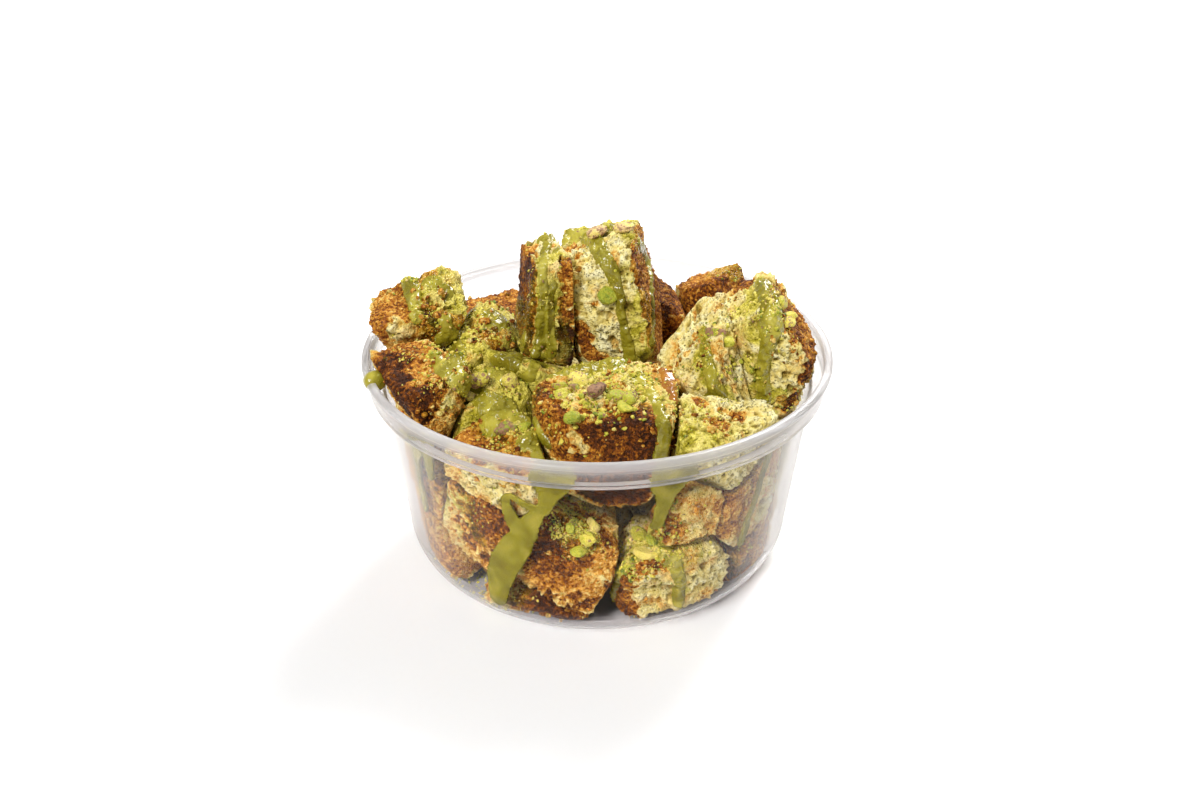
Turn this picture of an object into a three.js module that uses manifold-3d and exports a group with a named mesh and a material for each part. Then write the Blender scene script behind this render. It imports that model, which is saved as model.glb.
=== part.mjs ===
import * as THREE from "three";
import { mergeVertices } from "three/addons/utils/BufferGeometryUtils.js";
import Module from "manifold-3d";

// Pistachio waffle bites: torn cubes of waffle heaped in a clear round tub, with pistachio
// sauce, chopped pistachio and a few whole kernels. Millimetres, +Z up, origin at the middle
// of the tub's underside. -Y is the front of the heap.

// Tub
const TUB_HEIGHT = 58;
const RIM_RADIUS = 58.5;
const BEAD_HEIGHT = 1.9;
const BEAD_ROUND = 0.6;
const COLLAR_RADIUS = 57.3;
const COLLAR_LEAN = 0.2;
const LEDGE_HEIGHT = 50.8;
const LEDGE_DROP = 0.5;
const WALL_TOP_RADIUS = 53.9;
const WALL_FOOT_RADIUS = 49.43;
const CORNER_HEIGHT = 13.3;
const BASE_RADIUS = 37.8;
const WALL = 0.8;
const FLOOR = 1.1;
const FOOT_BEVEL = 0.8;
const TUB_SIDES = 48;
const CORNER_STEPS = 3;

// Heap
const NEIGHBOUR_GAP = 0.35;
const WALL_GAP = 1.5;
const FLOOR_GAP = 0.45;
const EDGE_POWER = 12;
const NEIGHBOUR_REACH = 62;
const LUMP_DEPTH = 0.12;
const LUMP_WAVES = 6;
const WALL_SEARCH = 60;
const WALL_SEARCH_STEPS = 18;
const RIM_FLARE = 0.4;
const RIM_INSET = 0.4;

// Sauce and nuts
const RUN_THICKNESS = 0.8;
const RUN_EDGE = 0.1;
const RUN_GAP = 0.3;
const DRIP_THICKNESS = 1.3;
const DRIP_SINK = 0.9;
const THIN_SHARE = 0.25;
const NARROW_SHARE = 0.55;
const NARROWINGS = 0.8;
const GRAIN_SIZES = [1.3, 2.3];
const GRAIN_SHAPE = [1.15, 0.85, 0.75];
const GRAIN_LIFT = 0.2;
const GOLDEN_ANGLE = 137.5;
const KERNEL_GAP = 0.55;
const NORMAL_STEP = 0.12;

const DEGREE = Math.PI / 180;
const SLANT = new THREE.Vector3(0.31, 0.87, 0.38);
const wasm = await Module();
wasm.setup();

const clearPlastic = new THREE.MeshStandardMaterial({
  color: 0xe9ebe8,
  roughness: 0.12,
  metalness: 0,
  transparent: true,
  opacity: 0.35,
});
const waffle = new THREE.MeshStandardMaterial({ color: 0xb98a45, roughness: 0.85, metalness: 0 });
const sauce = new THREE.MeshStandardMaterial({ color: 0x8d9236, roughness: 0.25, metalness: 0 });
const nut = new THREE.MeshStandardMaterial({ color: 0x9aa53c, roughness: 0.6, metalness: 0 });

// Repeatable random numbers from 0 to 1
function randomFrom(seed) {
  let state = seed;
  return () => {
    state = (state * 16807) % 2147483647;
    return state / 2147483647;
  };
}

const group = new THREE.Group();

function addMesh(name, geometry, material) {
  const mesh = new THREE.Mesh(geometry, material);
  mesh.name = name;
  group.add(mesh);
}

// A closed geometry with only its shared positions left, as every piece here is kept
function closed(geometry) {
  const bare = geometry.clone();
  bare.deleteAttribute("normal");
  bare.deleteAttribute("uv");
  return mergeVertices(bare, 1e-4);
}

function solidOf(geometry) {
  return new wasm.Manifold(
    new wasm.Mesh({
      numProp: 3,
      vertProperties: new Float32Array(geometry.attributes.position.array),
      triVerts: new Uint32Array(geometry.index.array),
    }),
  );
}

function geometryOf(solid) {
  const mesh = solid.getMesh();
  return new THREE.BufferGeometry()
    .setAttribute("position", new THREE.BufferAttribute(mesh.vertProperties, 3))
    .setIndex(new THREE.BufferAttribute(mesh.triVerts, 1));
}

// Moves every corner of a closed geometry to place(corner)
function reshaped(geometry, place) {
  const shared = closed(geometry);
  const positions = shared.attributes.position;
  const corner = new THREE.Vector3();
  for (let i = 0; i < positions.count; i++) {
    const moved = place(corner.fromBufferAttribute(positions, i));
    positions.setXYZ(i, moved.x, moved.y, moved.z);
  }
  return shared;
}

// Tub: a turned thin wall with a rounded foot, a stepped collar and a beaded rim
const innerWallSlope = (WALL_TOP_RADIUS - WALL_FOOT_RADIUS) / (LEDGE_HEIGHT - CORNER_HEIGHT);

function innerRadius(z) {
  if (z >= CORNER_HEIGHT) return WALL_FOOT_RADIUS - WALL + innerWallSlope * (z - CORNER_HEIGHT);
  const rise = 1 - Math.max(z, 0) / CORNER_HEIGHT;
  const cornerWidth = WALL_FOOT_RADIUS - BASE_RADIUS;
  return BASE_RADIUS - WALL + cornerWidth * Math.sqrt(1 - rise * rise);
}

function cornerArc(baseRadius, bottom) {
  return Array.from({ length: CORNER_STEPS }, (_, i) => {
    const angle = ((i + 1) / (CORNER_STEPS + 1)) * (Math.PI / 2);
    return new THREE.Vector2(
      baseRadius + (WALL_FOOT_RADIUS - BASE_RADIUS) * Math.sin(angle),
      bottom + (CORNER_HEIGHT - bottom) * (1 - Math.cos(angle)),
    );
  });
}

function tubGeometry() {
  const beadBottom = TUB_HEIGHT - BEAD_HEIGHT;
  const outside = [
    new THREE.Vector2(0, 0),
    new THREE.Vector2(BASE_RADIUS - FOOT_BEVEL, 0),
    new THREE.Vector2(BASE_RADIUS, FOOT_BEVEL),
    ...cornerArc(BASE_RADIUS, FOOT_BEVEL),
    new THREE.Vector2(WALL_FOOT_RADIUS, CORNER_HEIGHT),
    new THREE.Vector2(WALL_TOP_RADIUS, LEDGE_HEIGHT - LEDGE_DROP),
    new THREE.Vector2(COLLAR_RADIUS - COLLAR_LEAN, LEDGE_HEIGHT + COLLAR_LEAN),
    new THREE.Vector2(COLLAR_RADIUS + COLLAR_LEAN, beadBottom),
    new THREE.Vector2(RIM_RADIUS, beadBottom + BEAD_ROUND),
    new THREE.Vector2(RIM_RADIUS, TUB_HEIGHT - BEAD_ROUND),
    new THREE.Vector2(RIM_RADIUS - BEAD_ROUND, TUB_HEIGHT),
  ];
  const inside = [
    new THREE.Vector2(COLLAR_RADIUS - WALL, TUB_HEIGHT),
    new THREE.Vector2(COLLAR_RADIUS - COLLAR_LEAN - WALL, LEDGE_HEIGHT + WALL),
    new THREE.Vector2(WALL_TOP_RADIUS - WALL, LEDGE_HEIGHT),
    new THREE.Vector2(WALL_FOOT_RADIUS - WALL, CORNER_HEIGHT),
    ...cornerArc(BASE_RADIUS - WALL, FLOOR).reverse(),
    new THREE.Vector2(BASE_RADIUS - WALL, FLOOR),
    new THREE.Vector2(0, FLOOR),
  ];
  return new THREE.LatheGeometry([...outside, ...inside], TUB_SIDES).rotateX(Math.PI / 2);
}

addMesh("tub", closed(tubGeometry()), clearPlastic);

// Waffle bites: each is a soft-edged block of half-sizes half, turned about x, y and z in
// degrees, with corners torn off. A tear is [azimuth, elevation, distance from the middle].
// A pocket is [azimuth, elevation, half width, half height, depth]. A drip of thick sauce
// runs along [azimuth, elevation] points with a width, and nuts are chopped pistachio
// scattered within spread degrees of one side.
const BITES = {
  bite_tall: {
    at: [3, 9, 66],
    half: [12, 13.5, 19],
    turn: [-6, -11, -6],
    tears: [
      [280, -60, 19.5],
      [197, 58, 16.5],
    ],
    pockets: [[215, -20, 10, 32, 5]],
    share: 1.5,
    detail: 3,
    drips: [
      { along: [[236, 66], [254, 57], [271, 44], [278, 17], [283, -11], [286, -33]], width: 3.8 },
      { along: [[318, 46], [314, 14], [310, -24]], width: 2.4 },
    ],
    nuts: [{ toward: [262, 30], spread: 8, count: 1, size: 0.95 }],
  },
  bite_tall_side: {
    at: [-13, 5, 65.5],
    half: [6.5, 13, 21],
    turn: [0, 5, 10],
    tears: [
      [250, -42, 19],
      [165, 78, 16],
    ],
    share: 1.35,
    detail: 3,
  },
  bite_left_rim: {
    at: [-44.5, 6, 61],
    half: [13, 9, 10],
    turn: [10, -18, 15],
    tears: [
      [170, -50, 8],
      [300, 60, 9],
    ],
    share: 1.2,
    detail: 3,
  },
  bite_left_dark: { at: [-42, -17, 50], half: [10, 14, 14], turn: [0, -10, 35], share: 1.1, detail: 3 },
  bite_soaked_back: {
    at: [-29, 5, 49],
    half: [15, 13, 12],
    turn: [15, -5, 30],
    detail: 3,
  },
  bite_soaked_middle: { at: [-19, -4, 47], half: [12, 13, 13.5], turn: [10, 15, -10], detail: 3 },
  bite_soaked_front: {
    at: [-27, -17, 44],
    half: [14, 13, 11.5],
    turn: [20, 0, 15],
    detail: 3,
    drips: [{ along: [[255, 34], [300, 44], [335, 20]], width: 6 }],
    nuts: [
      { toward: [226, 64], spread: 3, count: 1, size: 0.8 },
      { toward: [10, 66], spread: 5, count: 1 },
    ],
  },
  bite_front: {
    at: [2, -28, 48.5],
    half: [21, 15.5, 13],
    turn: [3, 2, 4],
    tears: [
      [230, 0, 17],
      [121, 10, 15],
    ],
    share: 1.5,
    detail: 3,
    drips: [{ along: [[14, 60], [338, 50], [323, 35], [317, 18], [317, 0]], width: 4 }],
    nuts: [
      { toward: [186, 56], spread: 13, count: 4 },
      { toward: [300, 58], spread: 12, count: 4 },
    ],
  },
  bite_right_lobe: {
    at: [25.5, -11, 56.5],
    half: [10, 14, 16],
    turn: [0, -24, -28],
    tears: [[208, 45, 7]],
    share: 1.1,
    detail: 3,
    drips: [{ along: [[266, 55], [274, 18], [284, -7]], width: 3.6 }],
    nuts: [{ toward: [325, 62], spread: 12, count: 2 }],
  },
  bite_right: {
    at: [41, -2, 58],
    half: [12, 13, 16],
    turn: [6, -30, -12],
    tears: [
      [22, 40, 15],
      [190, 45, 13.5],
    ],
    share: 1.3,
    detail: 4,
    drips: [{ along: [[259, 77], [273, 41], [267, 5], [269, -32]], width: 4 }],
    nuts: [{ toward: [308, 58], spread: 12, count: 3 }],
  },
  bite_back_right: { at: [31, 31, 53], half: [10, 8, 10], turn: [0, -25, -35], detail: 3 },
  bite_back_left: {
    at: [-27, 30, 44],
    half: [14, 12, 10.5],
    turn: [0, 0, 35],
    detail: 3,
    nuts: [{ toward: [280, 60], spread: 20, count: 1 }],
  },
  bite_back: { at: [13, 27, 50], half: [12, 10, 12], turn: [0, 10, -10], detail: 2 },
  bite_front_right: { at: [27, -30, 46], half: [15, 14, 12], turn: [10, 0, 30], detail: 3 },
  bite_front_left: {
    at: [-22, -35, 43],
    half: [15, 12, 8.5],
    turn: [15, 0, -25],
    detail: 3,
    nuts: [
      { toward: [100, 72], spread: 4, count: 1 },
      { toward: [20, 66], spread: 9, count: 2, size: 0.7 },
    ],
  },
  bite_side_left: { at: [-42, -15, 17], half: [13, 14, 15], turn: [0, 0, 20], detail: 2 },
  bite_side_left_high: { at: [-41, -20, 33], half: [14, 13, 12.5], turn: [0, 0, 20], detail: 2 },
  bite_side_brown: { at: [-25, -33, 29.5], half: [15, 10.5, 15], turn: [0, 25, -30], detail: 3 },
  bite_side_dark: {
    at: [-7, -36, 22],
    half: [15.5, 10, 12],
    turn: [0, 33, 0],
    share: 1.2,
    detail: 3,
    nuts: [{ toward: [292, 42], spread: 20, count: 4 }],
  },
  bite_side_pale: { at: [21, -38, 35], half: [8.5, 8, 9], turn: [0, 0, 20], share: 0.9, detail: 2 },
  bite_side_golden: { at: [33, -28, 31], half: [14, 11.5, 12.5], turn: [0, 0, 40], detail: 3 },
  bite_side_arch: {
    at: [17, -34, 14.5],
    half: [15.5, 11, 12],
    turn: [0, -15, 20],
    pockets: [[250, -20, 34, 26, 2.5]],
    share: 1.3,
    detail: 3,
    drips: [{ along: [[229, 8], [240, 38], [262, 46], [280, 30], [290, -28]], width: 2.6 }],
    nuts: [{ toward: [214, 56], spread: 22, count: 4 }],
  },
  bite_side_right: { at: [38, -20, 12], half: [11.5, 12.5, 12.5], turn: [0, 0, 40], detail: 2 },
  bite_side_floor: { at: [-14, -32, 6.5], half: [15, 10, 5], turn: [0, 0, -15], detail: 2 },
  bite_rear_1: { at: [-38, 10, 13.5], half: [12.5, 15, 15], turn: [0, 0, -10], detail: 2 },
  bite_rear_2: { at: [-23, 31, 13.5], half: [16, 12.5, 15], turn: [0, 0, 35], detail: 2 },
  bite_rear_3: { at: [6, 37, 13.5], half: [17, 12.5, 15], turn: [0, 0, -8], detail: 2 },
  bite_rear_4: { at: [31, 26, 13.5], half: [15, 12.5, 15], turn: [0, 0, -40], detail: 2 },
  bite_rear_5: { at: [40, 3, 13.5], half: [12.5, 15, 15], turn: [0, 0, 5], detail: 2 },
  bite_rear_6: { at: [-42, 13, 37], half: [12.5, 15, 15], turn: [0, 0, -10], detail: 2 },
  bite_rear_7: { at: [-13, 37, 30], half: [15, 11.5, 12.5], turn: [0, 0, 10], detail: 2 },
  bite_rear_8: { at: [13, 39, 34], half: [15, 11.5, 14], turn: [0, 0, -10], detail: 2 },
  bite_rear_9: { at: [35, 25, 35], half: [14, 12.5, 14], turn: [0, 0, -40], detail: 2 },
  bite_rear_10: { at: [43, -1, 35], half: [11.5, 15, 14], turn: [0, 0, 5], detail: 2 },
  bite_core_1: { at: [-10, 2, 15], half: [17, 15, 14], turn: [0, 0, 10], detail: 1 },
  bite_core_2: { at: [16, 0, 15], half: [14, 15, 14], turn: [0, 0, -20], detail: 1 },
  bite_core_3: { at: [-14, 12, 34], half: [15, 15, 13], turn: [0, 0, 25], detail: 1 },
  bite_core_4: { at: [12, 6, 38], half: [16, 15, 12], turn: [0, 0, 0], detail: 1 },
};

function toward(azimuth, elevation) {
  return new THREE.Vector3(
    Math.cos(elevation * DEGREE) * Math.cos(azimuth * DEGREE),
    Math.cos(elevation * DEGREE) * Math.sin(azimuth * DEGREE),
    Math.sin(elevation * DEGREE),
  );
}

Object.values(BITES).forEach((bite, index) => {
  const [turnX, turnY, turnZ] = bite.turn.map((angle) => angle * DEGREE);
  bite.middle = new THREE.Vector3(...bite.at);
  bite.rotation = new THREE.Matrix4().makeRotationFromEuler(new THREE.Euler(turnX, turnY, turnZ, "ZYX"));
  bite.unturn = bite.rotation.clone().invert();
  bite.seed = index + 1;
});

const pressure = (along, distance) => (Math.max(along, 0) / distance) ** EDGE_POWER;

// The block itself: 1 / radius ** EDGE_POWER in a direction, before it meets anything
function ownPressure(bite, direction) {
  const local = direction.clone().applyMatrix4(bite.unturn);
  let total = 0;
  ["x", "y", "z"].forEach((axis, i) => {
    total += pressure(local[axis], bite.half[i]) + pressure(-local[axis], bite.half[i]);
  });
  for (const [azimuth, elevation, distance] of bite.tears ?? [])
    total += pressure(direction.dot(toward(azimuth, elevation)), distance);
  return total;
}

// How far the bite reaches toward a neighbour: each gets its share of the space between
function reachToward(bite, other) {
  const between = other.middle.clone().sub(bite.middle);
  const spacing = between.length();
  const direction = between.divideScalar(spacing);
  const mine = ownPressure(bite, direction) ** (-1 / EDGE_POWER) * (bite.share ?? 1);
  const theirs =
    ownPressure(other, direction.clone().negate()) ** (-1 / EDGE_POWER) * (other.share ?? 1);
  return { direction, spacing, limit: ((spacing - NEIGHBOUR_GAP) * mine) / (mine + theirs) };
}

// Radius that bites stay inside at a height: the wall, then the stepped collar and the rim
function heapRadius(z) {
  const flare = RIM_FLARE * Math.max(z - LEDGE_HEIGHT, 0);
  return Math.min(innerRadius(z) - WALL_GAP + flare, RIM_RADIUS - RIM_INSET);
}

// Distance from the bite's middle to the tub's inner wall in a direction, by halving
function distanceToWall(bite, direction) {
  let near = 0;
  let far = WALL_SEARCH;
  for (let step = 0; step < WALL_SEARCH_STEPS; step++) {
    const tried = (near + far) / 2;
    const point = bite.middle.clone().addScaledVector(direction, tried);
    if (Math.hypot(point.x, point.y) < heapRadius(point.z)) near = tried;
    else far = tried;
  }
  return Math.max(near, 0.5);
}

// Slow lumps from 0 to 1: a sum of sine waves, each across a way of its own set by the seed
function lumps(bite, direction) {
  let total = 0;
  for (let wave = 0; wave < LUMP_WAVES; wave++) {
    const phase = bite.seed * 1.618 + wave;
    const pitch = 2.2 + 1.3 * wave;
    const across =
      Math.sin(12.9898 * phase) * direction.x +
      Math.sin(78.233 * phase) * direction.y +
      Math.sin(37.719 * phase) * direction.z;
    total += Math.sin(across * pitch + bite.seed * 2.4 + wave * 1.3) / (1 + 0.35 * wave);
  }
  return THREE.MathUtils.clamp(0.5 + total / 5, 0, 1);
}

// Pocket depth in a direction: full inside its rounded outline, none outside
function pocketDepth(bite, direction) {
  let depth = 0;
  for (const [azimuth, elevation, halfWidth, halfHeight, deep] of bite.pockets ?? []) {
    const axis = toward(azimuth, elevation);
    const side = new THREE.Vector3(0, 0, 1).cross(axis).normalize();
    const rise = axis.clone().cross(side);
    const ahead = direction.dot(axis);
    if (ahead < 0.1) continue;
    const x = direction.dot(side) / ahead / Math.tan(halfWidth * DEGREE);
    const y = direction.dot(rise) / ahead / Math.tan(halfHeight * DEGREE);
    const outline = 0.55 * Math.max(Math.abs(x), Math.abs(y)) + 0.45 * Math.hypot(x, y);
    depth += deep * THREE.MathUtils.smoothstep(1.25 - outline, 0, 0.5);
  }
  return depth;
}

// Radius of the finished bite in a direction
function radiusOf(bite, direction) {
  let total = ownPressure(bite, direction);
  for (const { direction: side, limit } of bite.limits)
    total += pressure(direction.dot(side), limit);
  total += pressure(-direction.z, bite.middle.z - FLOOR - FLOOR_GAP);
  total += distanceToWall(bite, direction) ** -EDGE_POWER;
  const radius = total ** (-1 / EDGE_POWER);
  return radius * (1 - LUMP_DEPTH * lumps(bite, direction)) - pocketDepth(bite, direction);
}

for (const bite of Object.values(BITES))
  bite.limits = Object.values(BITES)
    .filter((other) => other !== bite)
    .map((other) => reachToward(bite, other))
    .filter(({ spacing }) => spacing < NEIGHBOUR_REACH);

function surfacePoint(bite, direction, lift = 0) {
  return bite.middle.clone().addScaledVector(direction, radiusOf(bite, direction) + lift);
}

// Outward normal of the bite's surface in a direction, from two nearby points
function surfaceNormal(bite, direction) {
  const side = SLANT.clone().cross(direction).normalize();
  const rise = direction.clone().cross(side);
  const [east, west, north, south] = [
    [side, 1],
    [side, -1],
    [rise, 1],
    [rise, -1],
  ].map(([step, sign]) =>
    surfacePoint(bite, direction.clone().addScaledVector(step, sign * NORMAL_STEP).normalize()),
  );
  return east.sub(west).cross(north.sub(south)).normalize();
}

// A thick drip: a strip bent along its points on the bite, sunk a little into the crumb
function dripSolid(bite, { along, width }) {
  const path = new THREE.CatmullRomCurve3(along.map(([azimuth, elevation]) => toward(azimuth, elevation)));
  const strip = new THREE.BoxGeometry(1, 1, 1, along.length + 1, 2, 1);
  return solidOf(
    reshaped(strip, ({ x, y, z }) => {
      const share = x + 0.5;
      const direction = path.getPoint(share).normalize();
      const sideways = path.getTangent(share).cross(direction).normalize();
      const wave = Math.cos(share * NARROWINGS * 2 * Math.PI) ** 2;
      const narrowing = THREE.MathUtils.lerp(NARROW_SHARE, 1, wave);
      const radius = radiusOf(bite, direction);
      direction.addScaledVector(sideways, (-y * width * narrowing) / radius).normalize();
      const crown = THREE.MathUtils.lerp(THIN_SHARE, 1, 1 - (2 * y) ** 2);
      const lift = z > 0 ? DRIP_THICKNESS * crown : -DRIP_SINK;
      return surfacePoint(bite, direction, lift);
    }),
  );
}

// Chopped pistachio: angular grains half sunk in the surface
function nutSolids(bite, { toward: [azimuth, elevation], spread, count, size = 1 }, random) {
  const middle = toward(azimuth, elevation);
  const solids = [];
  for (let i = 0; i < count; i++) {
    const around = (i * GOLDEN_ANGLE + 40 * random()) * DEGREE;
    const off = Math.tan(spread * DEGREE) * Math.sqrt((i + 0.5) / count);
    const side = SLANT.clone().cross(middle).normalize();
    const rise = middle.clone().cross(side);
    const direction = middle
      .clone()
      .addScaledVector(side, off * Math.cos(around))
      .addScaledVector(rise, off * Math.sin(around))
      .normalize();
    const half = size * THREE.MathUtils.lerp(...GRAIN_SIZES, random());
    const grain = new THREE.IcosahedronGeometry(half, 0)
      .scale(...GRAIN_SHAPE)
      .rotateX(random() * Math.PI)
      .rotateZ(random() * Math.PI)
      .translate(...surfacePoint(bite, direction, half * GRAIN_LIFT).toArray());
    solids.push(solidOf(closed(grain)));
  }
  return solids;
}

// Cuts sauce and nuts back to the bite's own side of every neighbour and of the tub wall
function keptClear(bite, solid) {
  let kept = solid;
  for (const { direction, limit } of bite.limits)
    kept = kept.trimByPlane(direction.clone().negate().toArray(), -limit - direction.dot(bite.middle));
  return kept;
}

for (const [name, bite] of Object.entries(BITES)) {
  const random = randomFrom(7 * bite.seed);
  const sphere = new THREE.IcosahedronGeometry(1, bite.detail);
  const torn = reshaped(sphere, (corner) => surfacePoint(bite, corner.clone().normalize()));
  let solid = solidOf(torn);
  const toppings = [
    ...(bite.drips ?? []).map((drip) => dripSolid(bite, drip)),
    ...(bite.nuts ?? []).flatMap((nuts) => nutSolids(bite, nuts, random)),
  ];
  for (const topping of toppings) solid = solid.add(keptClear(bite, topping));
  const whole = solid.decompose().sort((a, b) => b.volume() - a.volume())[0];
  addMesh(name, geometryOf(whole), waffle);
}

// Whole kernels: each lies flat on a bite, on the side at [azimuth, elevation]
const KERNELS = {
  kernel_tall_left: { on: "bite_tall", side: [150, 80], half: [2.9, 2.2, 1.5], turn: 15 },
  kernel_tall_right: { on: "bite_tall", side: [335, 77], half: [3.1, 2.2, 1.4], turn: -10 },
  kernel_front_brown: { on: "bite_front", side: [250, 65], half: [2.8, 1.9, 1.6], turn: 40 },
  kernel_front_green: { on: "bite_front", side: [243, 36], half: [2.2, 1.7, 1.5], turn: 10 },
  kernel_left: { on: "bite_soaked_front", side: [225, 82], half: [3, 2.3, 1.8], turn: 20 },
};

for (const [name, { on, side, half, turn }] of Object.entries(KERNELS)) {
  const bite = BITES[on];
  const direction = toward(...side);
  const geometry = new THREE.SphereGeometry(1, 8, 5).scale(...half).rotateZ(turn * DEGREE);
  const normal = surfaceNormal(bite, direction);
  const upright = new THREE.Quaternion().setFromUnitVectors(new THREE.Vector3(0, 0, 1), normal);
  const place = surfacePoint(bite, direction).addScaledVector(normal, half[2] + KERNEL_GAP);
  geometry.applyQuaternion(upright).translate(place.x, place.y, place.z);
  addMesh(name, closed(geometry), nut);
}

// Sauce runs down the inside of the wall: [azimuth, height, half width] along each
const WALL_RUNS = {
  sauce_run_front_left: [
    [259, 50, 4.2],
    [257.5, 44, 2.3],
    [253, 37, 3.2],
    [247.5, 28, 4],
    [242, 18, 3.6],
    [240.5, 11, 2.6],
  ],
  sauce_run_front_right: [
    [288, 50, 4.6],
    [287, 45, 2.3],
    [285.5, 37, 1.6],
  ],
  sauce_run_left: [
    [216, 50, 2],
    [214, 40, 1.3],
    [213.5, 27, 1.2],
  ],
  sauce_run_right: [
    [320, 48, 1],
    [317, 34, 0.8],
    [314, 22, 1],
  ],
};

for (const [name, stations] of Object.entries(WALL_RUNS)) {
  const path = new THREE.CatmullRomCurve3(stations.map((station) => new THREE.Vector3(...station)));
  const strip = new THREE.BoxGeometry(1, 1, 1, 2 * stations.length, 2, 1);
  const run = reshaped(strip, ({ x, y, z }) => {
    const { x: azimuth, y: height, z: halfWidth } = path.getPoint(x + 0.5);
    const ends = Math.sqrt(Math.max(1 - (2 * Math.abs(x)) ** 6, 0.05));
    const crown = THREE.MathUtils.lerp(THIN_SHARE, 1, 1 - (2 * y) ** 2);
    const thickness = RUN_EDGE + (height < CORNER_HEIGHT ? 0 : RUN_THICKNESS * crown);
    const radius = innerRadius(height) - RUN_GAP - (z > 0 ? thickness : 0);
    const angle = azimuth * DEGREE - (2 * y * halfWidth * ends) / radius;
    return new THREE.Vector3(radius * Math.cos(angle), radius * Math.sin(angle), height);
  });
  addMesh(name, run, sauce);
}

export default group;
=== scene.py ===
import itertools
import math

import bpy
import numpy as np
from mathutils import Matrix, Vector


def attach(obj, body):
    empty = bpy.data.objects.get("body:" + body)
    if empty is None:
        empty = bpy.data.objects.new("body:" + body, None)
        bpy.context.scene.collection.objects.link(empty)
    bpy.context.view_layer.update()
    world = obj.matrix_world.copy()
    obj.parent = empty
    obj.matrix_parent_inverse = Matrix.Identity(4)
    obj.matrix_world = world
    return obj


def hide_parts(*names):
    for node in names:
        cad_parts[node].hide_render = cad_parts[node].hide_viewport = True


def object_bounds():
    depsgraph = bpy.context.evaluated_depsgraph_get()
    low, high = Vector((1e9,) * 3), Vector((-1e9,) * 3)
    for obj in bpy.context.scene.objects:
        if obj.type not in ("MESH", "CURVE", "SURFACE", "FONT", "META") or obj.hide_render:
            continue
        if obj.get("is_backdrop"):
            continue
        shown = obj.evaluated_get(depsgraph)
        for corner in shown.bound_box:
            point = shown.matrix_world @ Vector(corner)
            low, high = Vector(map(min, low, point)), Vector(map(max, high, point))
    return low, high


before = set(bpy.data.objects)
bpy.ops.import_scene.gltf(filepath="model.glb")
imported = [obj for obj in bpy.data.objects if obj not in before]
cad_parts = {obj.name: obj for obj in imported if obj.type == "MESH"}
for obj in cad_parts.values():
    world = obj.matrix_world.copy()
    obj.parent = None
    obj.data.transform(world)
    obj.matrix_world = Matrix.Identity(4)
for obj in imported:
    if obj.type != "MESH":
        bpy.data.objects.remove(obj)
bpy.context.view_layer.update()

# Camera: it looks down on the front of the tub from a little under a third of the way up,
# with a short telephoto lens, so that the heap shows over the rim and through the wall.
MM = 0.001
CAMERA_AT = (0.67, -310.6, 214.6)
CAMERA_DOWN = 29.1
camera_data = bpy.data.cameras.new("camera")
camera_data.sensor_width = 36
camera_data.lens = 41.67
camera_data.clip_start = 0.01
camera = bpy.data.objects.new("camera", camera_data)
camera.location = [MM * c for c in CAMERA_AT]
camera.rotation_euler = (math.radians(90 - CAMERA_DOWN), 0, 0)
bpy.context.scene.collection.objects.link(camera)
bpy.context.scene.camera = camera


# Tub: one thin blow of clear polypropylene with a rounded foot, a stepped collar for the lid
# and a rolled bead. The plastic is faintly milky and throws long soft highlights.
TUB_HEIGHT = 58
RIM_RADIUS = 58.5
COLLAR_RADIUS = 57.3
LEDGE_HEIGHT = 50.8
WALL_TOP_RADIUS = 53.9
WALL_FOOT_RADIUS = 49.43
CORNER_HEIGHT = 13.3
BASE_RADIUS = 37.8
WALL = 0.8
FLOOR = 1.1
BEAD_BOTTOM = 56.1
FOOT_BEVEL = 0.9
FOOT_RISE = 0.8
COLLAR_STEP = 0.3
TUB_SIDES = 192


class Value:
    """An output of a material's node; sums, differences and products of these add Math nodes."""

    def __init__(self, finish, socket):
        self.finish, self.socket = finish, socket

    def math(self, operation, one, other):
        return self.finish.node("ShaderNodeMath", {0: one, 1: other}, operation=operation)

    def __add__(self, other):
        return self.math("ADD", self, other)

    def __sub__(self, other):
        return self.math("SUBTRACT", self, other)

    def __rsub__(self, other):
        return self.math("SUBTRACT", other, self)

    def __mul__(self, other):
        return self.math("MULTIPLY", self, other)

    __radd__, __rmul__ = __add__, __mul__

    def at_most(self, other):
        return self.math("MINIMUM", self, other)

    def between(self, low, high):
        """0 below low, 1 above high and a smooth step from one to the other."""
        sockets = {"Value": self, "From Min": low, "From Max": high}
        return self.finish.node("ShaderNodeMapRange", sockets, interpolation_type="SMOOTHSTEP")


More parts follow.
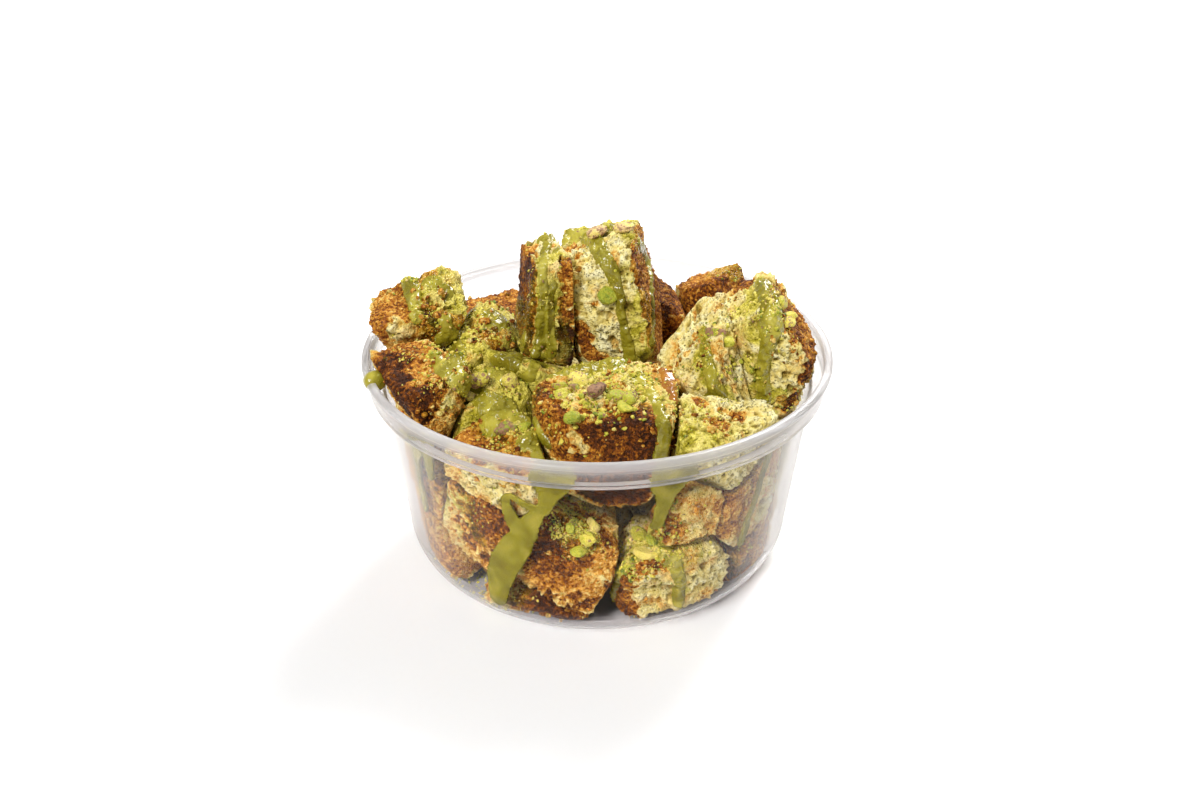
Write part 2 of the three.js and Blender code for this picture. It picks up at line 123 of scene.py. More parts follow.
class Finish:
    """A material as it is written: node() adds any node and gives back one of its outputs."""

    def __init__(self, name):
        self.material = bpy.data.materials.new(name)
        self.material.use_nodes = True
        self.tree = self.material.node_tree
        self.tree.nodes.clear()

    def node(self, kind, sockets=None, output=0, stops=(), **settings):
        made = self.tree.nodes.new(kind)
        for key, setting in settings.items():
            setattr(made, key, setting)
        if stops:
            ramp = made.color_ramp.elements
            while len(ramp) < len(stops):
                ramp.new(1.0)
            for element, (position, colour) in zip(ramp, stops):
                element.position, element.color = position, (*colour, 1)
        for key, value in (sockets or {}).items():
            socket = made.inputs[key]
            if isinstance(value, Value):
                self.tree.links.new(value.socket, socket)
            else:
                socket.default_value = (*value, 1) if socket.type == "RGBA" else value
        return Value(self, made.outputs[output])

    def place(self):
        """Where each point lies on the piece, in metres."""
        return self.node("ShaderNodeTexCoord", output="Object")

    def mix(self, share, one, other):
        """Colour one where share is 0, the other where it is 1."""
        sockets = {"Factor": share, 6: one, 7: other}
        return self.node("ShaderNodeMix", sockets, output=2, data_type="RGBA")

    def ramp(self, share, *stops):
        """The colour at share along the stops, each a position from 0 to 1 and its colour."""
        return self.node("ShaderNodeValToRGB", {"Fac": share}, stops=stops)

    def noise(self, size, detail=2.0, roughness=0.5, distortion=0.0):
        """Noise spread over 0 to 1, or a little past, with features of about size millimetres."""
        sockets = {"Vector": self.place(), "Scale": 1 / (size * MM), "Detail": detail}
        sockets |= {"Roughness": roughness, "Distortion": distortion}
        raw = self.node("ShaderNodeTexNoise", sockets)
        sockets = {"Value": raw, "From Min": 0.3, "From Max": 0.7}
        return self.node("ShaderNodeMapRange", sockets, clamp=False)

    def cells(self, size, output="Distance"):
        """Cells of about size millimetres: the distance to the nearest cell's middle, or that
        cell's own colour."""
        sockets = {"Vector": self.place(), "Scale": 1 / (size * MM)}
        return self.node("ShaderNodeTexVoronoi", sockets, output)

    def attribute(self, name):
        return self.node("ShaderNodeAttribute", output="Fac", attribute_name=name)

    def bump(self, height, distance, strength=1.0):
        sockets = {"Height": height, "Distance": distance * MM, "Strength": strength}
        return self.node("ShaderNodeBump", sockets)

    def body(self, sockets):
        return self.node("ShaderNodeBsdfPrincipled", sockets)

    def finished(self, shader):
        surface = self.tree.nodes.new("ShaderNodeOutputMaterial").inputs["Surface"]
        self.tree.links.new(shader.socket, surface)


def add_piece(name, points, faces, finish, values=None, stands_for=()):
    """A mesh from points in millimetres and arrays of faces, riding on the part's one body."""
    faces = faces if isinstance(faces, list) else [faces]
    sizes = np.concatenate([np.full(len(group), group.shape[1]) for group in faces])
    corners = np.concatenate([group.ravel() for group in faces])
    mesh = bpy.data.meshes.new(name)
    mesh.vertices.add(len(points))
    mesh.vertices.foreach_set("co", (points * MM).ravel())
    mesh.loops.add(len(corners))
    mesh.loops.foreach_set("vertex_index", corners.astype(np.int32))
    mesh.polygons.add(len(sizes))
    mesh.polygons.foreach_set("loop_start", (np.cumsum(sizes) - sizes).astype(np.int32))
    mesh.update(calc_edges=True)
    for key, numbers in (values or {}).items():
        layer = mesh.attributes.new(key, "FLOAT", "POINT")
        layer.data.foreach_set("value", np.asarray(numbers, np.float32))
    mesh.shade_smooth()
    mesh.materials.append(finish.material)
    piece = bpy.data.objects.new(name, mesh)
    bpy.context.scene.collection.objects.link(piece)
    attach(piece, "root")
    if stands_for:
        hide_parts(*stands_for)


def corner_arc(base_radius, bottom, steps=12):
    """Quarter of an ellipse from the base's edge up to the foot of the wall."""
    angle = np.linspace(0, math.pi / 2, steps)
    radius = base_radius + (WALL_FOOT_RADIUS - BASE_RADIUS) * np.sin(angle)
    return np.stack([radius, bottom + (CORNER_HEIGHT - bottom) * (1 - np.cos(angle))], 1)


def softened(profile, reach=0.35, steps=3):
    """Each corner is replaced by a short quadratic curve that starts and ends up to reach away."""
    before, here, after = profile[:-2], profile[1:-1], profile[2:]
    spans = [np.linalg.norm(end - here, axis=1, keepdims=True) for end in (before, after)]
    starts, ends = [
        here + (end - here) / span * np.minimum(reach, 0.45 * span)
        for end, span in zip((before, after), spans)
    ]
    share = np.linspace(0, 1, steps + 1)[:, None, None]
    curve = (1 - share) ** 2 * starts + 2 * share * (1 - share) * here + share**2 * ends
    rounded = curve.transpose(1, 0, 2).reshape(-1, 2)
    return np.concatenate([profile[:1], rounded, profile[-1:]])


def grid_faces(rows, columns, wrap=False):
    """Four-sided faces of a grid of points, row by row; with wrap each row is a closed ring."""
    row, side = np.meshgrid(np.arange(rows - 1), np.arange(columns - 1 + wrap), indexing="ij")
    here, there = row * columns + side, row * columns + (side + 1) % columns
    return np.stack([here, there, there + columns, here + columns], -1).reshape(-1, 4)


def turned(profile, sides):
    """The profile of (radius, height) carried round Z; its ends lie on the axis and close it."""
    angle = np.arange(sides) / sides * 2 * math.pi
    radius, height = profile[1:-1, 0], profile[1:-1, 1]
    ring = np.stack([np.cos(angle), np.sin(angle), np.ones(sides)], 1)
    points = (ring[None] * np.stack([radius, radius, height], 1)[:, None]).reshape(-1, 3)
    points = np.concatenate([points, [[0, 0, profile[0, 1]], [0, 0, profile[-1, 1]]]])
    first, second = np.arange(sides), (np.arange(sides) + 1) % sides
    last = (len(radius) - 1) * sides
    below = np.stack([np.full(sides, len(points) - 2), second, first], 1)
    above = np.stack([np.full(sides, len(points) - 1), last + first, last + second], 1)
    return points, [grid_faces(len(radius), sides, wrap=True), below, above]


outer = [
    [(0, 0), (BASE_RADIUS - FOOT_BEVEL, 0)],
    corner_arc(BASE_RADIUS, FOOT_RISE),
    [
        (WALL_TOP_RADIUS, LEDGE_HEIGHT - 0.5),
        (COLLAR_RADIUS - 0.2, LEDGE_HEIGHT + 0.2),
        (COLLAR_RADIUS + 0.2, BEAD_BOTTOM),
        (RIM_RADIUS, BEAD_BOTTOM + 0.4),
        (RIM_RADIUS, TUB_HEIGHT - 0.6),
        (RIM_RADIUS - 0.7, TUB_HEIGHT),
        (COLLAR_RADIUS - WALL, TUB_HEIGHT),
        (COLLAR_RADIUS - WALL - COLLAR_STEP, LEDGE_HEIGHT + WALL),
        (WALL_TOP_RADIUS - WALL, LEDGE_HEIGHT),
    ],
    corner_arc(BASE_RADIUS - WALL, FLOOR)[::-1],
    [(0, FLOOR)],
]
profile = softened(np.concatenate([np.array(part, float) for part in outer]))

clear = Finish("clear_polypropylene")
clear_body = clear.body({
    "Base Color": (0.89, 0.885, 0.895),
    "Roughness": 0.02,
    "IOR": 1.12,
    "Transmission Weight": 1.0,
})
edge_on = clear.node("ShaderNodeLayerWeight", {"Blend": 0.3}, output=1)
# The milky layer's colour is painted darker tan-grey where the wall is seen edge on: painted shade
# at the tub's sides
milky_body = clear.body({
    "Base Color": clear.mix(
        edge_on.between(0.3, 0.8), (0.55, 0.53, 0.52), (0.39, 0.35, 0.315)
    ),
    "Roughness": 0.28,
    "IOR": 1.4,
    "Transmission Weight": 0.25,
})
# How milky the plastic is: more so where it is thick, by height in metres, and seen edge on
height = clear.node("ShaderNodeSeparateXYZ", {"Vector": clear.place()}, output=2)
collar = height.between(0.0505, 0.0515) * 0.13
bead = height.between(0.0535, 0.0568) * 0.4
ledge = height.between(0.0495, 0.0512) * height.between(0.0525, 0.0512) * 0.25
foot = height.between(0.003, 0.0005) * 0.5
milk = 0.002 + collar + bead + ledge + foot + edge_on.between(0.22, 0.8) * 0.62
clouded = clear.node("ShaderNodeMixShader", {0: milk, 1: clear_body, 2: milky_body})
seen_through = clear.node("ShaderNodeBsdfTransparent", {"Color": (0.88, 0.87, 0.87)})
shadow = clear.node("ShaderNodeLightPath", output="Is Shadow Ray")
clear.finished(clear.node("ShaderNodeMixShader", {0: shadow, 1: clouded, 2: seen_through}))
points, faces = turned(profile, TUB_SIDES)
add_piece("tub_clear", points, faces, clear, stands_for=["tub"])


# Waffle bites: cubes torn from thick waffles, a dark sugary crust on the iron's side and a pale
# open crumb where they were pulled apart. Each is a soft-edged block pressed against its
# neighbours and the wall, with lumps, and then pores or crust grains a millimetre across.
GAP = 0.35
WALL_GAP = 1.5
FLOOR_GAP = 0.45
EDGE_POWER = 12
REACH = 62
LUMP_DEPTH = 0.12
LUMP_WAVES = 6
FARTHEST_WALL = 60.0
NEAREST_WALL = 0.5
HALVINGS = 18
RIM_FLARE = 0.4
RIM_INSET = 0.4
# Each bite: its middle, half sizes and turn, how close it is seen, its share of the space
# between it and the next one, how tan its crumb is, how much sauce it drinks, how deep its
# crumb folds and how far it closes the gaps beside it. Then planes that it is torn along
# (azimuth, elevation, distance), pockets (azimuth, elevation, half width and half height in
# degrees, depth) and the tone of its baked sides. Its marks are toasted and bare patches
# (azimuth, elevation, radius, tone), and where nut crumbs and waffle flakes fell on it
# (azimuth, elevation, radius, number, size).
BITES = {
    "bite_tall": dict(
        at=(3, 9, 66), half=(12, 13.5, 19), turn=(-6, -11, -6), seen="close", share=1.5, tan=0.07,
        closes=1, tears=[(280, -60, 19.5), (197, 58, 16.5)], pockets=[(215, -20, 10, 32, 5)],
        crust={"x+": 0.46, "x-": 0.55, "y+": 0.6, "z-": 0.5},
        toast=[(161, 52, 3, 0.3), (174, 64, 2.6, 0.28), (208, 56, 1.5, 0.38), (227, 46, 1.2, 0.42),
            (233, 34, 1.2, 0.42), (234, 21, 1.2, 0.45), (235, 6, 1.5, 0.5), (238, -8, 2, 0.5),
            (244, -20, 2.3, 0.5), (250, -31, 2.3, 0.5), (260, -38, 2.4, 0.5)],
        bare=[(262, 55, 5), (255, 23, 6)],
        crumbs=[(153, 70, 5, 26, 0.8), (329, 60, 4, 12, 0.7), (270, 33, 3, 8, 0.7)],
        flakes=[(243, -27, 4, 14, 0.8)],
    ),
    "bite_tall_side": dict(
        at=(-13, 5, 65.5), half=(6.5, 13, 21), turn=(0, 5, 10), seen="close", share=1.35, fold=1.1,
        closes=1, stretch=(1, 1, 0.25), tears=[(250, -42, 19), (165, 78, 16)],
        crust={"x-": 0.75, "y+": 0.6, "z+": 0.35},
        toast=[(170, 66, 5, 0.75), (205, 27, 5, 0.85), (239, -5, 5, 0.85), (128, 64, 3, 0.35),
            # The strip down the right edge is crust; its darkest, lowest marks also paint the
            # shade in the cleft against bite_tall
            (302, 55, 2.4, 0.45), (299, 47, 2.4, 0.48), (299, 39, 2.4, 0.5), (300, 29, 2.4, 0.55),
            (300, 10, 2.8, 0.75), (298, -11, 3.2, 0.9), (298, -28, 3.6, 0.95)],
        crumbs=[(85, 62, 5, 14, 0.7), (275, 32, 5, 14, 0.7), (271, -15, 5, 12, 0.7),
            (260, -24, 4, 20, 0.7)],
        flakes=[(265, -20, 4, 16, 0.9)],
    ),
    "bite_left_rim": dict(
        at=(-44.5, 6, 61), half=(13, 9, 10), turn=(10, -18, 15), seen="close", share=1.2, tan=0.12,
        drinks=0.75, fold=0.8, tears=[(170, -50, 8), (300, 60, 9)],
        crust={"x-": 0.46, "y-": 0.44, "z+": 0.4, "y+": 0.6},
        toast=[(192, 38, 7, 0.32), (155, 51, 5, 0.3), (230, 20, 4, 0.4), (297, 29, 3.5, 0.85)],
        bare=[(248, 14, 4)],
        crumbs=[(114, 65, 3.5, 26, 0.9), (75, 68, 3, 14, 0.8), (341, 51, 6, 14, 0.8),
            (291, -5, 4, 26, 0.9)],
        flakes=[(218, 54, 6, 24, 0.9), (297, 29, 4, 20, 1), (308, 20, 4, 22, 1)],
    ),
    "bite_left_dark": dict(
        at=(-42, -17, 50), half=(10, 14, 14), turn=(0, -10, 35), seen="close", share=1.1, tan=0.16,
        drinks=0.4, order=("bare", "toast"), crust={"x-": 0.85, "y-": 0.74, "z+": 0.35, "z-": 0.6},
        toast=[(191, 54, 6, 0.7), (239, 43, 8, 0.8), (143, 68, 5, 0.4), (235, 81, 5, 0.25),
            (302, 16, 4, 0.24), (293, 2, 3.5, 0.28)],
        bare=[(303, 19, 4.5), (299, 5, 4.5), (289, -3, 3.5), (307, 30, 3)],
        crumbs=[(65, 72, 5, 26, 0.9), (301, 63, 5, 26, 0.9), (296, 42, 4, 16, 0.8),
            (85, 67, 4, 18, 0.8), (305, 32, 3, 10, 0.8)],
        flakes=[(137, 81, 5, 22, 1), (307, 28, 5, 26, 1.1), (293, 12, 4, 20, 1)],
    ),
    "bite_soaked_back": dict(
        at=(-29, 5, 49), half=(15, 13, 12), turn=(15, -5, 30), seen="close", fold=0.95,
        crust={"x-": 0.6, "z-": 0.5},
        toast=[(294, 62, 4, 0.45), (324, 67, 3, 0.5)],
        crumbs=[(166, 73, 6, 60, 0.8), (117, 77, 5, 26, 0.9), (179, 24, 5, 20, 0.8),
            (286, 45, 6, 50, 0.9), (309, 50, 4, 22, 0.8), (264, 28, 4, 26, 0.9),
            (82, 54, 6, 26, 0.9), (98, 58, 4, 16, 0.9)],
        flakes=[(291, 67, 4, 24, 1.2), (328, 68, 3, 16, 1.2), (265, 52, 4, 14, 0.9),
            (98, 58, 5, 22, 1.1)],
    ),
    "bite_soaked_middle": dict(
        at=(-19, -4, 47), half=(12, 13, 13.5), turn=(10, 15, -10), seen="close", fold=0.95,
        crust={"z-": 0.6},
    ),
    "bite_soaked_front": dict(
        at=(-27, -17, 44), half=(14, 13, 11.5), turn=(20, 0, 15), seen="close", fold=0.8,
        crust={"x-": 0.6, "z-": 0.6},
        crumbs=[(10, 53, 6, 20, 0.8), (89, 73, 4, 34, 1), (0, 82, 5, 30, 0.8),
            (347, 50, 6, 40, 0.8), (335, 63, 6, 26, 0.7)],
        flakes=[(347, 50, 4, 16, 0.8)],
    ),
    "bite_front": dict(
        at=(2, -28, 48.5), half=(21, 15.5, 13), turn=(3, 2, 4), seen="close", share=1.5, tan=0.14,
        drinks=0.55, tears=[(230, 0, 17), (121, 10, 15)],
        crust={"y-": 0.78, "x-": 0.44, "z-": 0.3, "y+": 0.6},
        toast=[(190, 37, 6, 0.5), (217, 29, 8, 0.46), (229, 13, 7, 0.46), (176, 34, 4, 0.6),
            (265, 25, 10, 0.68), (290, 19, 10, 0.76), (305, 20, 7, 0.78), (281, 36, 7, 0.62),
            (300, 34, 7, 0.7), (257, 7, 7, 0.5), (8, 36, 3, 0.5), (311, 80, 4, 0.3)],
        bare=[(242, 26, 1.5), (246, 22, 1.9), (250, 17, 1.7), (243, 13, 1.3)],
        crumbs=[(205, 58, 5, 60, 1.1), (150, 83, 6, 80, 0.9), (322, 78, 5.5, 100, 1.1),
            (356, 57, 5, 70, 1), (11, 47, 5, 50, 0.8), (241, 59, 4, 50, 1.2),
            (169, 60, 5, 30, 0.8), (215, 46, 4, 20, 0.9), (253, 45, 5, 16, 1.3),
            (29, 40, 4, 20, 0.7)],
        flakes=[(33, 38, 5, 24, 1.1), (37, 52, 5, 16, 0.9), (192, 48, 5, 16, 0.9),
            (316, 17, 4, 14, 0.9)],
    ),
    "bite_right_lobe": dict(
        at=(25.5, -11, 56.5), half=(10, 14, 16), turn=(0, -24, -28), seen="close", share=1.1,
        fold=0.7, closes=0.8, tears=[(208, 45, 7)], crust={"y+": 0.5},
        toast=[(167, 85, 2, 0.24), (297, 55, 2, 0.19), (299, 37, 2.2, 0.19), (306, 16, 2.2, 0.2),
            (310, -4, 2, 0.2)],
        crumbs=[(344, 75, 3, 22, 0.9), (258, 18, 4, 34, 0.8), (326, 11, 3, 16, 1.2)],
        flakes=[(236, -18, 4, 16, 1.2), (154, 85, 4, 18, 0.9)],
    ),
    "bite_right": dict(
        at=(41, -2, 58), half=(12, 13, 16), turn=(6, -30, -12), seen="close", share=1.3,
        closes=0.8, tears=[(22, 40, 15), (190, 45, 13.5)],
        crust={"x+": 0.45, "y+": 0.6, "z-": 0.5},
        toast=[(120, 53, 3, 0.5), (3, 32, 7, 0.42), (350, 7, 6, 0.48), (299, 32, 5, 0.4),
            (302, -14, 4, 0.8), (299, -30, 5, 0.85), (307, -1, 4, 0.7), (113, 56, 3, 0.6)],
        bare=[(288, 11, 5), (287, -11, 4.5), (280, 28, 3)],
        crumbs=[(218, 37, 3, 18, 1.1), (272, 56, 4, 46, 1.1), (281, 48, 3, 24, 1),
            (263, 70, 3, 16, 0.8), (148, 69, 4, 10, 0.7), (277, -41, 5, 20, 0.8),
            (254, -5, 3, 14, 1)],
        flakes=[(120, 57, 4, 18, 0.9), (290, 27, 6, 30, 0.9), (295, -25, 5, 24, 1)],
    ),
    "bite_back_right": dict(
        at=(31, 31, 53), half=(10, 8, 10), turn=(0, -25, -35), order=("bare", "toast"),
        crust={"y-": 0.42, "x-": 0.55, "x+": 0.5, "y+": 0.5, "z+": 0.4},
        toast=[(259, 56, 10, 0.38), (307, 49, 10, 0.4), (224, 34, 8, 0.5)],
        bare=[(239, 49, 2), (272, 55, 2)],
        crumbs=[(356, 64, 3, 10, 0.8)],
    ),
    "bite_back_left": dict(
        at=(-27, 30, 44), half=(14, 12, 10.5), turn=(0, 0, 35),
        crust={"z+": 0.4, "y+": 0.6, "x-": 0.5},
        toast=[(152, 57, 5, 0.4), (80, 75, 7, 0.45), (325, 59, 6, 0.5)],
        flakes=[(75, 79, 6, 30, 1.1)],
    ),
    "bite_back": dict(
        at=(13, 27, 50), half=(12, 10, 12), turn=(0, 10, -10),
        crust={"y-": 0.6, "x-": 0.6, "x+": 0.6, "y+": 0.6, "z+": 0.6},
        toast=[(321, 63, 10, 0.6)],
    ),
    "bite_front_right": dict(
        at=(27, -30, 46), half=(15, 14, 12), turn=(10, 0, 30), seen="close", tan=0.08,
        crust={"x+": 0.5, "z-": 0.4},
        toast=[(271, 60, 2.4, 0.5), (282, 52, 2, 0.5), (331, 57, 2.2, 0.4), (169, 77, 2, 0.4)],
        crumbs=[(93, 75, 4, 26, 0.8), (198, 64, 6, 34, 0.8), (218, 47, 5, 24, 0.8),
            (255, 45, 6, 22, 0.8), (301, 49, 5, 16, 0.8), (303, -26, 6, 20, 0.8)],
        flakes=[(182, 75, 5, 30, 1.1), (301, 58, 5, 18, 0.9)],
    ),
    "bite_front_left": dict(
        at=(-22, -35, 43), half=(15, 12, 8.5), turn=(15, 0, -25), seen="close", tan=0.14,
        drinks=0.6, crust={"y-": 0.5, "x-": 0.48, "z-": 0.5},
        toast=[(157, 39, 6, 0.36), (174, 55, 6, 0.45), (223, 63, 6, 0.5), (298, 45, 6, 0.42),
            (311, 34, 5, 0.45)],
        crumbs=[(34, 67, 4, 36, 0.9), (303, 79, 4, 20, 0.9), (355, 59, 4, 16, 0.8),
            (140, 65, 4, 10, 0.8), (244, -8, 7, 26, 0.7)],
        flakes=[(150, 53, 6, 24, 0.9), (300, 61, 5, 18, 0.9)],
    ),
    "bite_side_left": dict(
        at=(-42, -15, 17), half=(13, 14, 15), turn=(0, 0, 20), tan=0.2,
        crust={"x-": 0.3, "y-": 0.3},
        toast=[(225, 5, 15, 0.34), (250, 20, 9, 0.42)],
    ),
    "bite_side_left_high": dict(
        at=(-41, -20, 33), half=(14, 13, 12.5), turn=(0, 0, 20), tan=0.2,
        crust={"x-": 0.35, "y-": 0.3},
        toast=[(258, -28, 8, 0.35), (225, 0, 14, 0.34), (255, 10, 8, 0.44)],
    ),
    "bite_side_brown": dict(
        at=(-25, -33, 29.5), half=(15, 10.5, 15), turn=(0, 25, -30), tan=0.14,
        crust={"y-": 0.58, "z-": 0.5},
        toast=[(288, 41, 14, 0.56), (270, 4, 12, 0.6), (293, 11, 10, 0.62), (258, 56, 8, 0.5)],
        crumbs=[(226, 19, 3, 20, 0.6)],
    ),
    "bite_side_dark": dict(
        at=(-7, -36, 22), half=(15.5, 10, 12), turn=(0, 33, 0), seen="close", share=1.2, tan=0.14,
        order=("bare", "toast"), crust={"y-": 0.6, "x+": 0.26, "z-": 0.25},
        toast=[(240, 41, 8, 0.68), (260, 28, 7, 0.6), (311, 58, 8, 0.56), (230, 28, 6, 0.7),
            (259, -26, 6, 0.3), (294, -17, 6, 0.3), (313, 10, 6, 0.3), (325, 33, 5, 0.32),
            (227, -21, 5, 0.34)],
        bare=[(259, -33, 5), (294, -26, 5), (316, 15, 4.5), (338, 31, 4.5), (226, -30, 4),
            (308, -5, 4)],
        crumbs=[(273, 69, 4, 160, 0.6), (283, 50, 4.5, 200, 0.65), (294, 32, 4, 140, 0.6),
            (72, 73, 4, 60, 0.7)],
        flakes=[(308, -9, 6, 20, 0.7), (240, 11, 6, 20, 0.7)],
    ),
    "bite_side_pale": dict(
        at=(21, -38, 35), half=(8.5, 8, 9), turn=(0, 0, 20), share=0.9, tan=0.2,
        crust={"x-": 0.5, "z-": 0.45},
        toast=[(222, -5, 3, 0.5), (245, 1, 3, 0.45)],
        crumbs=[(245, 3, 4, 20, 0.8), (224, -32, 5, 50, 1)],
    ),
    "bite_side_golden": dict(
        at=(33, -28, 31), half=(14, 11.5, 12.5), turn=(0, 0, 40), tan=0.2,
        crust={"y-": 0.4, "x-": 0.42},
        toast=[(236, 21, 8, 0.36), (229, -5, 6, 0.4), (266, 18, 8, 0.34)],
    ),
    "bite_side_arch": dict(
        at=(17, -34, 14.5), half=(15.5, 11, 12), turn=(0, -15, 20), seen="close", share=1.3,
        tan=0.13, order=("bare", "toast"), pockets=[(250, -20, 34, 26, 2.5)],
        crust={"x-": 0.5, "z-": 0.42, "y+": 0.6},
        toast=[(204, -34, 3.4, 0.6), (207, -19, 3.4, 0.62), (225, 10, 3.2, 0.62),
            (232, 22, 3, 0.62), (240, 29, 2.8, 0.62), (251, 35, 2.6, 0.6), (264, 39, 2.2, 0.55),
            (217, -40, 3, 0.45)],
        bare=[(249, -13, 7), (306, 34, 8), (329, -9, 7), (293, -34, 5)],
        crumbs=[(213, 46, 5, 60, 1.1), (220, 60, 5, 60, 1), (209, 31, 4, 30, 1.2),
            (272, 58, 5, 40, 0.8), (227, 26, 3, 20, 1)],
        flakes=[(222, 46, 5, 20, 0.8)],
    ),
    "bite_side_right": dict(
        at=(38, -20, 12), half=(11.5, 12.5, 12.5), turn=(0, 0, 40), tan=0.16,
        crust={"x-": 0.55, "y-": 0.5},
        toast=[(239, -37, 8, 0.55), (255, -4, 8, 0.5), (300, 10, 12, 0.4)],
        crumbs=[(234, 22, 5, 16, 0.8)],
    ),
    "bite_side_floor": dict(
        at=(-14, -32, 6.5), half=(15, 10, 5), turn=(0, 0, -15), tan=0.15,
        crust={"y-": 0.65, "z+": 0.6, "x-": 0.5, "x+": 0.6},
        toast=[(306, 7, 14, 0.7), (339, -9, 10, 0.65), (255, 6, 8, 0.5)],
        crumbs=[(211, 11, 5, 30, 0.8), (316, -9, 8, 24, 0.8)],
        flakes=[(271, 16, 6, 40, 0.9), (321, -8, 6, 40, 0.9)],
    ),
}
BACK = [
    ((-38, 10, 13.5), (12.5, 15, 15), -10, {"x-": 0.7, "z+": 0.5}, (200, 0, 12, 0.4)),
    ((-23, 31, 13.5), (16, 12.5, 15), 35, {"y+": 0.55}),
    ((6, 37, 13.5), (17, 12.5, 15), -8, {"x-": 0.6, "z-": 0.5}),
    ((31, 26, 13.5), (15, 12.5, 15), -40, {"y+": 0.8, "x+": 0.6}),
    ((40, 3, 13.5), (12.5, 15, 15), 5, {"z+": 0.6, "y-": 0.5}),
    ((-42, 13, 37), (12.5, 15, 15), -10, {"y+": 0.6, "z-": 0.5}, (200, -10, 10, 0.4)),
    ((-13, 37, 30), (15, 11.5, 12.5), 10, {"y+": 0.75, "x-": 0.6}),
    ((13, 39, 34), (15, 11.5, 14), -10, {"x+": 0.6, "z+": 0.5}),
    ((35, 25, 35), (14, 12.5, 14), -40, {"y+": 0.45, "z-": 0.6}),
    ((43, -1, 35), (11.5, 15, 14), 5, {"x+": 0.7}),
]
HIDDEN = [
    ((-10, 2, 15), (17, 15, 14), 10, {"z+": 0.5}),
    ((16, 0, 15), (14, 15, 14), -20, {"z+": 0.5}),
    ((-14, 12, 34), (15, 15, 13), 25, {"z+": 0.5}),
    ((12, 6, 38), (16, 15, 12), 0, {"z+": 0.5, "y-": 0.6}),
]
for seen, stem, rows in (("back", "bite_rear", BACK), ("hidden", "bite_core", HIDDEN)):
    for number, (at, half, turn, crust, *toast) in enumerate(rows, 1):
        BITES[f"{stem}_{number}"] = dict(
            at=at, half=half, turn=(0, 0, turn), seen=seen, crust=crust, toast=toast
        )
# Crumb that has drunk up sauce: (x, y, z, radius, strength)
SOAKED = [
    (12, -2, 71, 4, 0.8), (13, -3, 62, 6, 0.95), (10, -5, 60, 5, 0.8), (8, -3, 79, 3, 0.4),
    (0, 22, 82, 10, 0.9), (5, 20, 82, 9, 0.8), (10, 7, 84, 5, 0.6), (10, -4, 66, 4, 0.5),
    (4, -3, 71, 3, 0.35), (-12, -2, 82, 4.5, 0.95), (-12, -7, 77, 4.5, 0.95),
    (-13, -7, 71, 5, 0.95), (-13, -7, 62, 5.5, 0.95), (-41, 8, 70, 7, 0.9), (-37, 6, 68, 7, 0.85),
    (-39, 3, 67, 6, 0.9), (-35, -27, 63, 5, 0.6), (-40, -14, 63, 4, 0.4), (-37, 1, 58, 12, 0.95),
    (-31, 3, 60, 12, 0.9), (-34, 3, 66, 9, 0.9), (-23, -9, 59, 14, 1), (-17, -14, 58, 14, 1),
    (-31, -18, 54, 14, 1), (-23, -22, 54, 14, 1), (0, -21, 62, 12, 0.75), (8, -26, 61, 11, 0.75),
    (13, -32, 60, 7, 0.8), (17, -40, 59, 4, 0.5), (16, -41, 53, 3, 0.7), (25, -17, 62, 3, 0.9),
    (26, -22, 61, 3.5, 0.95), (22, -12, 62, 5, 0.25), (28, -22, 54, 4.5, 1), (37, -6, 71, 5, 0.8),
    (40, -1, 74, 6, 0.9), (38, -15, 69, 5, 0.85), (38, -14, 60, 4, 0.85), (41, -13, 50, 5.5, 0.9),
    (35, -11, 68, 3, 0.5), (43, -9, 74, 4.5, 0.7), (33, 34, 64, 5, 0.8), (37, 31, 65, 4, 0.8),
    (-27, 7, 61, 9, 0.8), (-23, 7, 60, 8, 0.8), (21, -35, 57, 7, 0.5), (23, -43, 56, 7, 0.55),
    (19, -42, 54, 6, 0.7), (28, -41, 56, 6, 0.4), (32, -39, 55, 6, 0.3), (-16, -37, 52, 8, 0.8),
    (-20, -34, 52, 6, 0.6), (-21, -37, 51, 5, 0.6), (-37, -30, 37, 7, 0.6), (-38, -30, 31, 5, 0.5),
    (-38, -26, 21, 5, 0.5), (-32, -38, 36, 5, 0.7), (-30, -38, 29, 3, 0.8), (-28, -39, 26, 3, 0.7),
    (-5, -41, 34, 7, 0.6), (-4, -46, 30, 6, 0.5), (17, -46, 36, 4, 0.3), (36, -34, 38, 6, 0.4),
    (38, -29, 24, 6, 0.4), (13, -38, 24, 4.5, 0.85), (16, -40, 25, 4, 0.9), (22, -42, 23, 4, 0.6),
    (20, -41, 12, 2.4, 0.8), (9, -40, 24, 3.5, 0.8), (34, -28, 13, 6, 0.6), (-20, -36, 9, 5, 0.8),
]


def toward(azimuth, elevation):
    """Unit vector at these angles in degrees, azimuth from +X towards +Y."""
    azimuth, elevation = np.radians(azimuth), np.radians(elevation)
    flat = np.cos(elevation)
    return np.stack([flat * np.cos(azimuth), flat * np.sin(azimuth), np.sin(elevation)], -1)


def turned_axes(turn):
    """Rotation about X, then Y, then Z, in degrees."""
    matrix = np.eye(3)
    for axis, angle in enumerate(np.radians(turn)):
        b, c = (axis + 1) % 3, (axis + 2) % 3
        step = np.eye(3)
        step[b, b] = step[c, c] = math.cos(angle)
        step[c, b], step[b, c] = math.sin(angle), -math.sin(angle)
        matrix = step @ matrix
    return matrix


for seed, bite in enumerate(BITES.values(), 1):
    bite.setdefault("seen", "shown")
    bite["seed"], bite["at"] = seed, np.array(bite["at"], float)
    bite["axes"] = turned_axes(bite["turn"])


def pressure(along, distance):
    """Share of the way to a plane, to a high power: sums of these round the edges between."""
    return (np.maximum(along, 0) / distance) ** EDGE_POWER


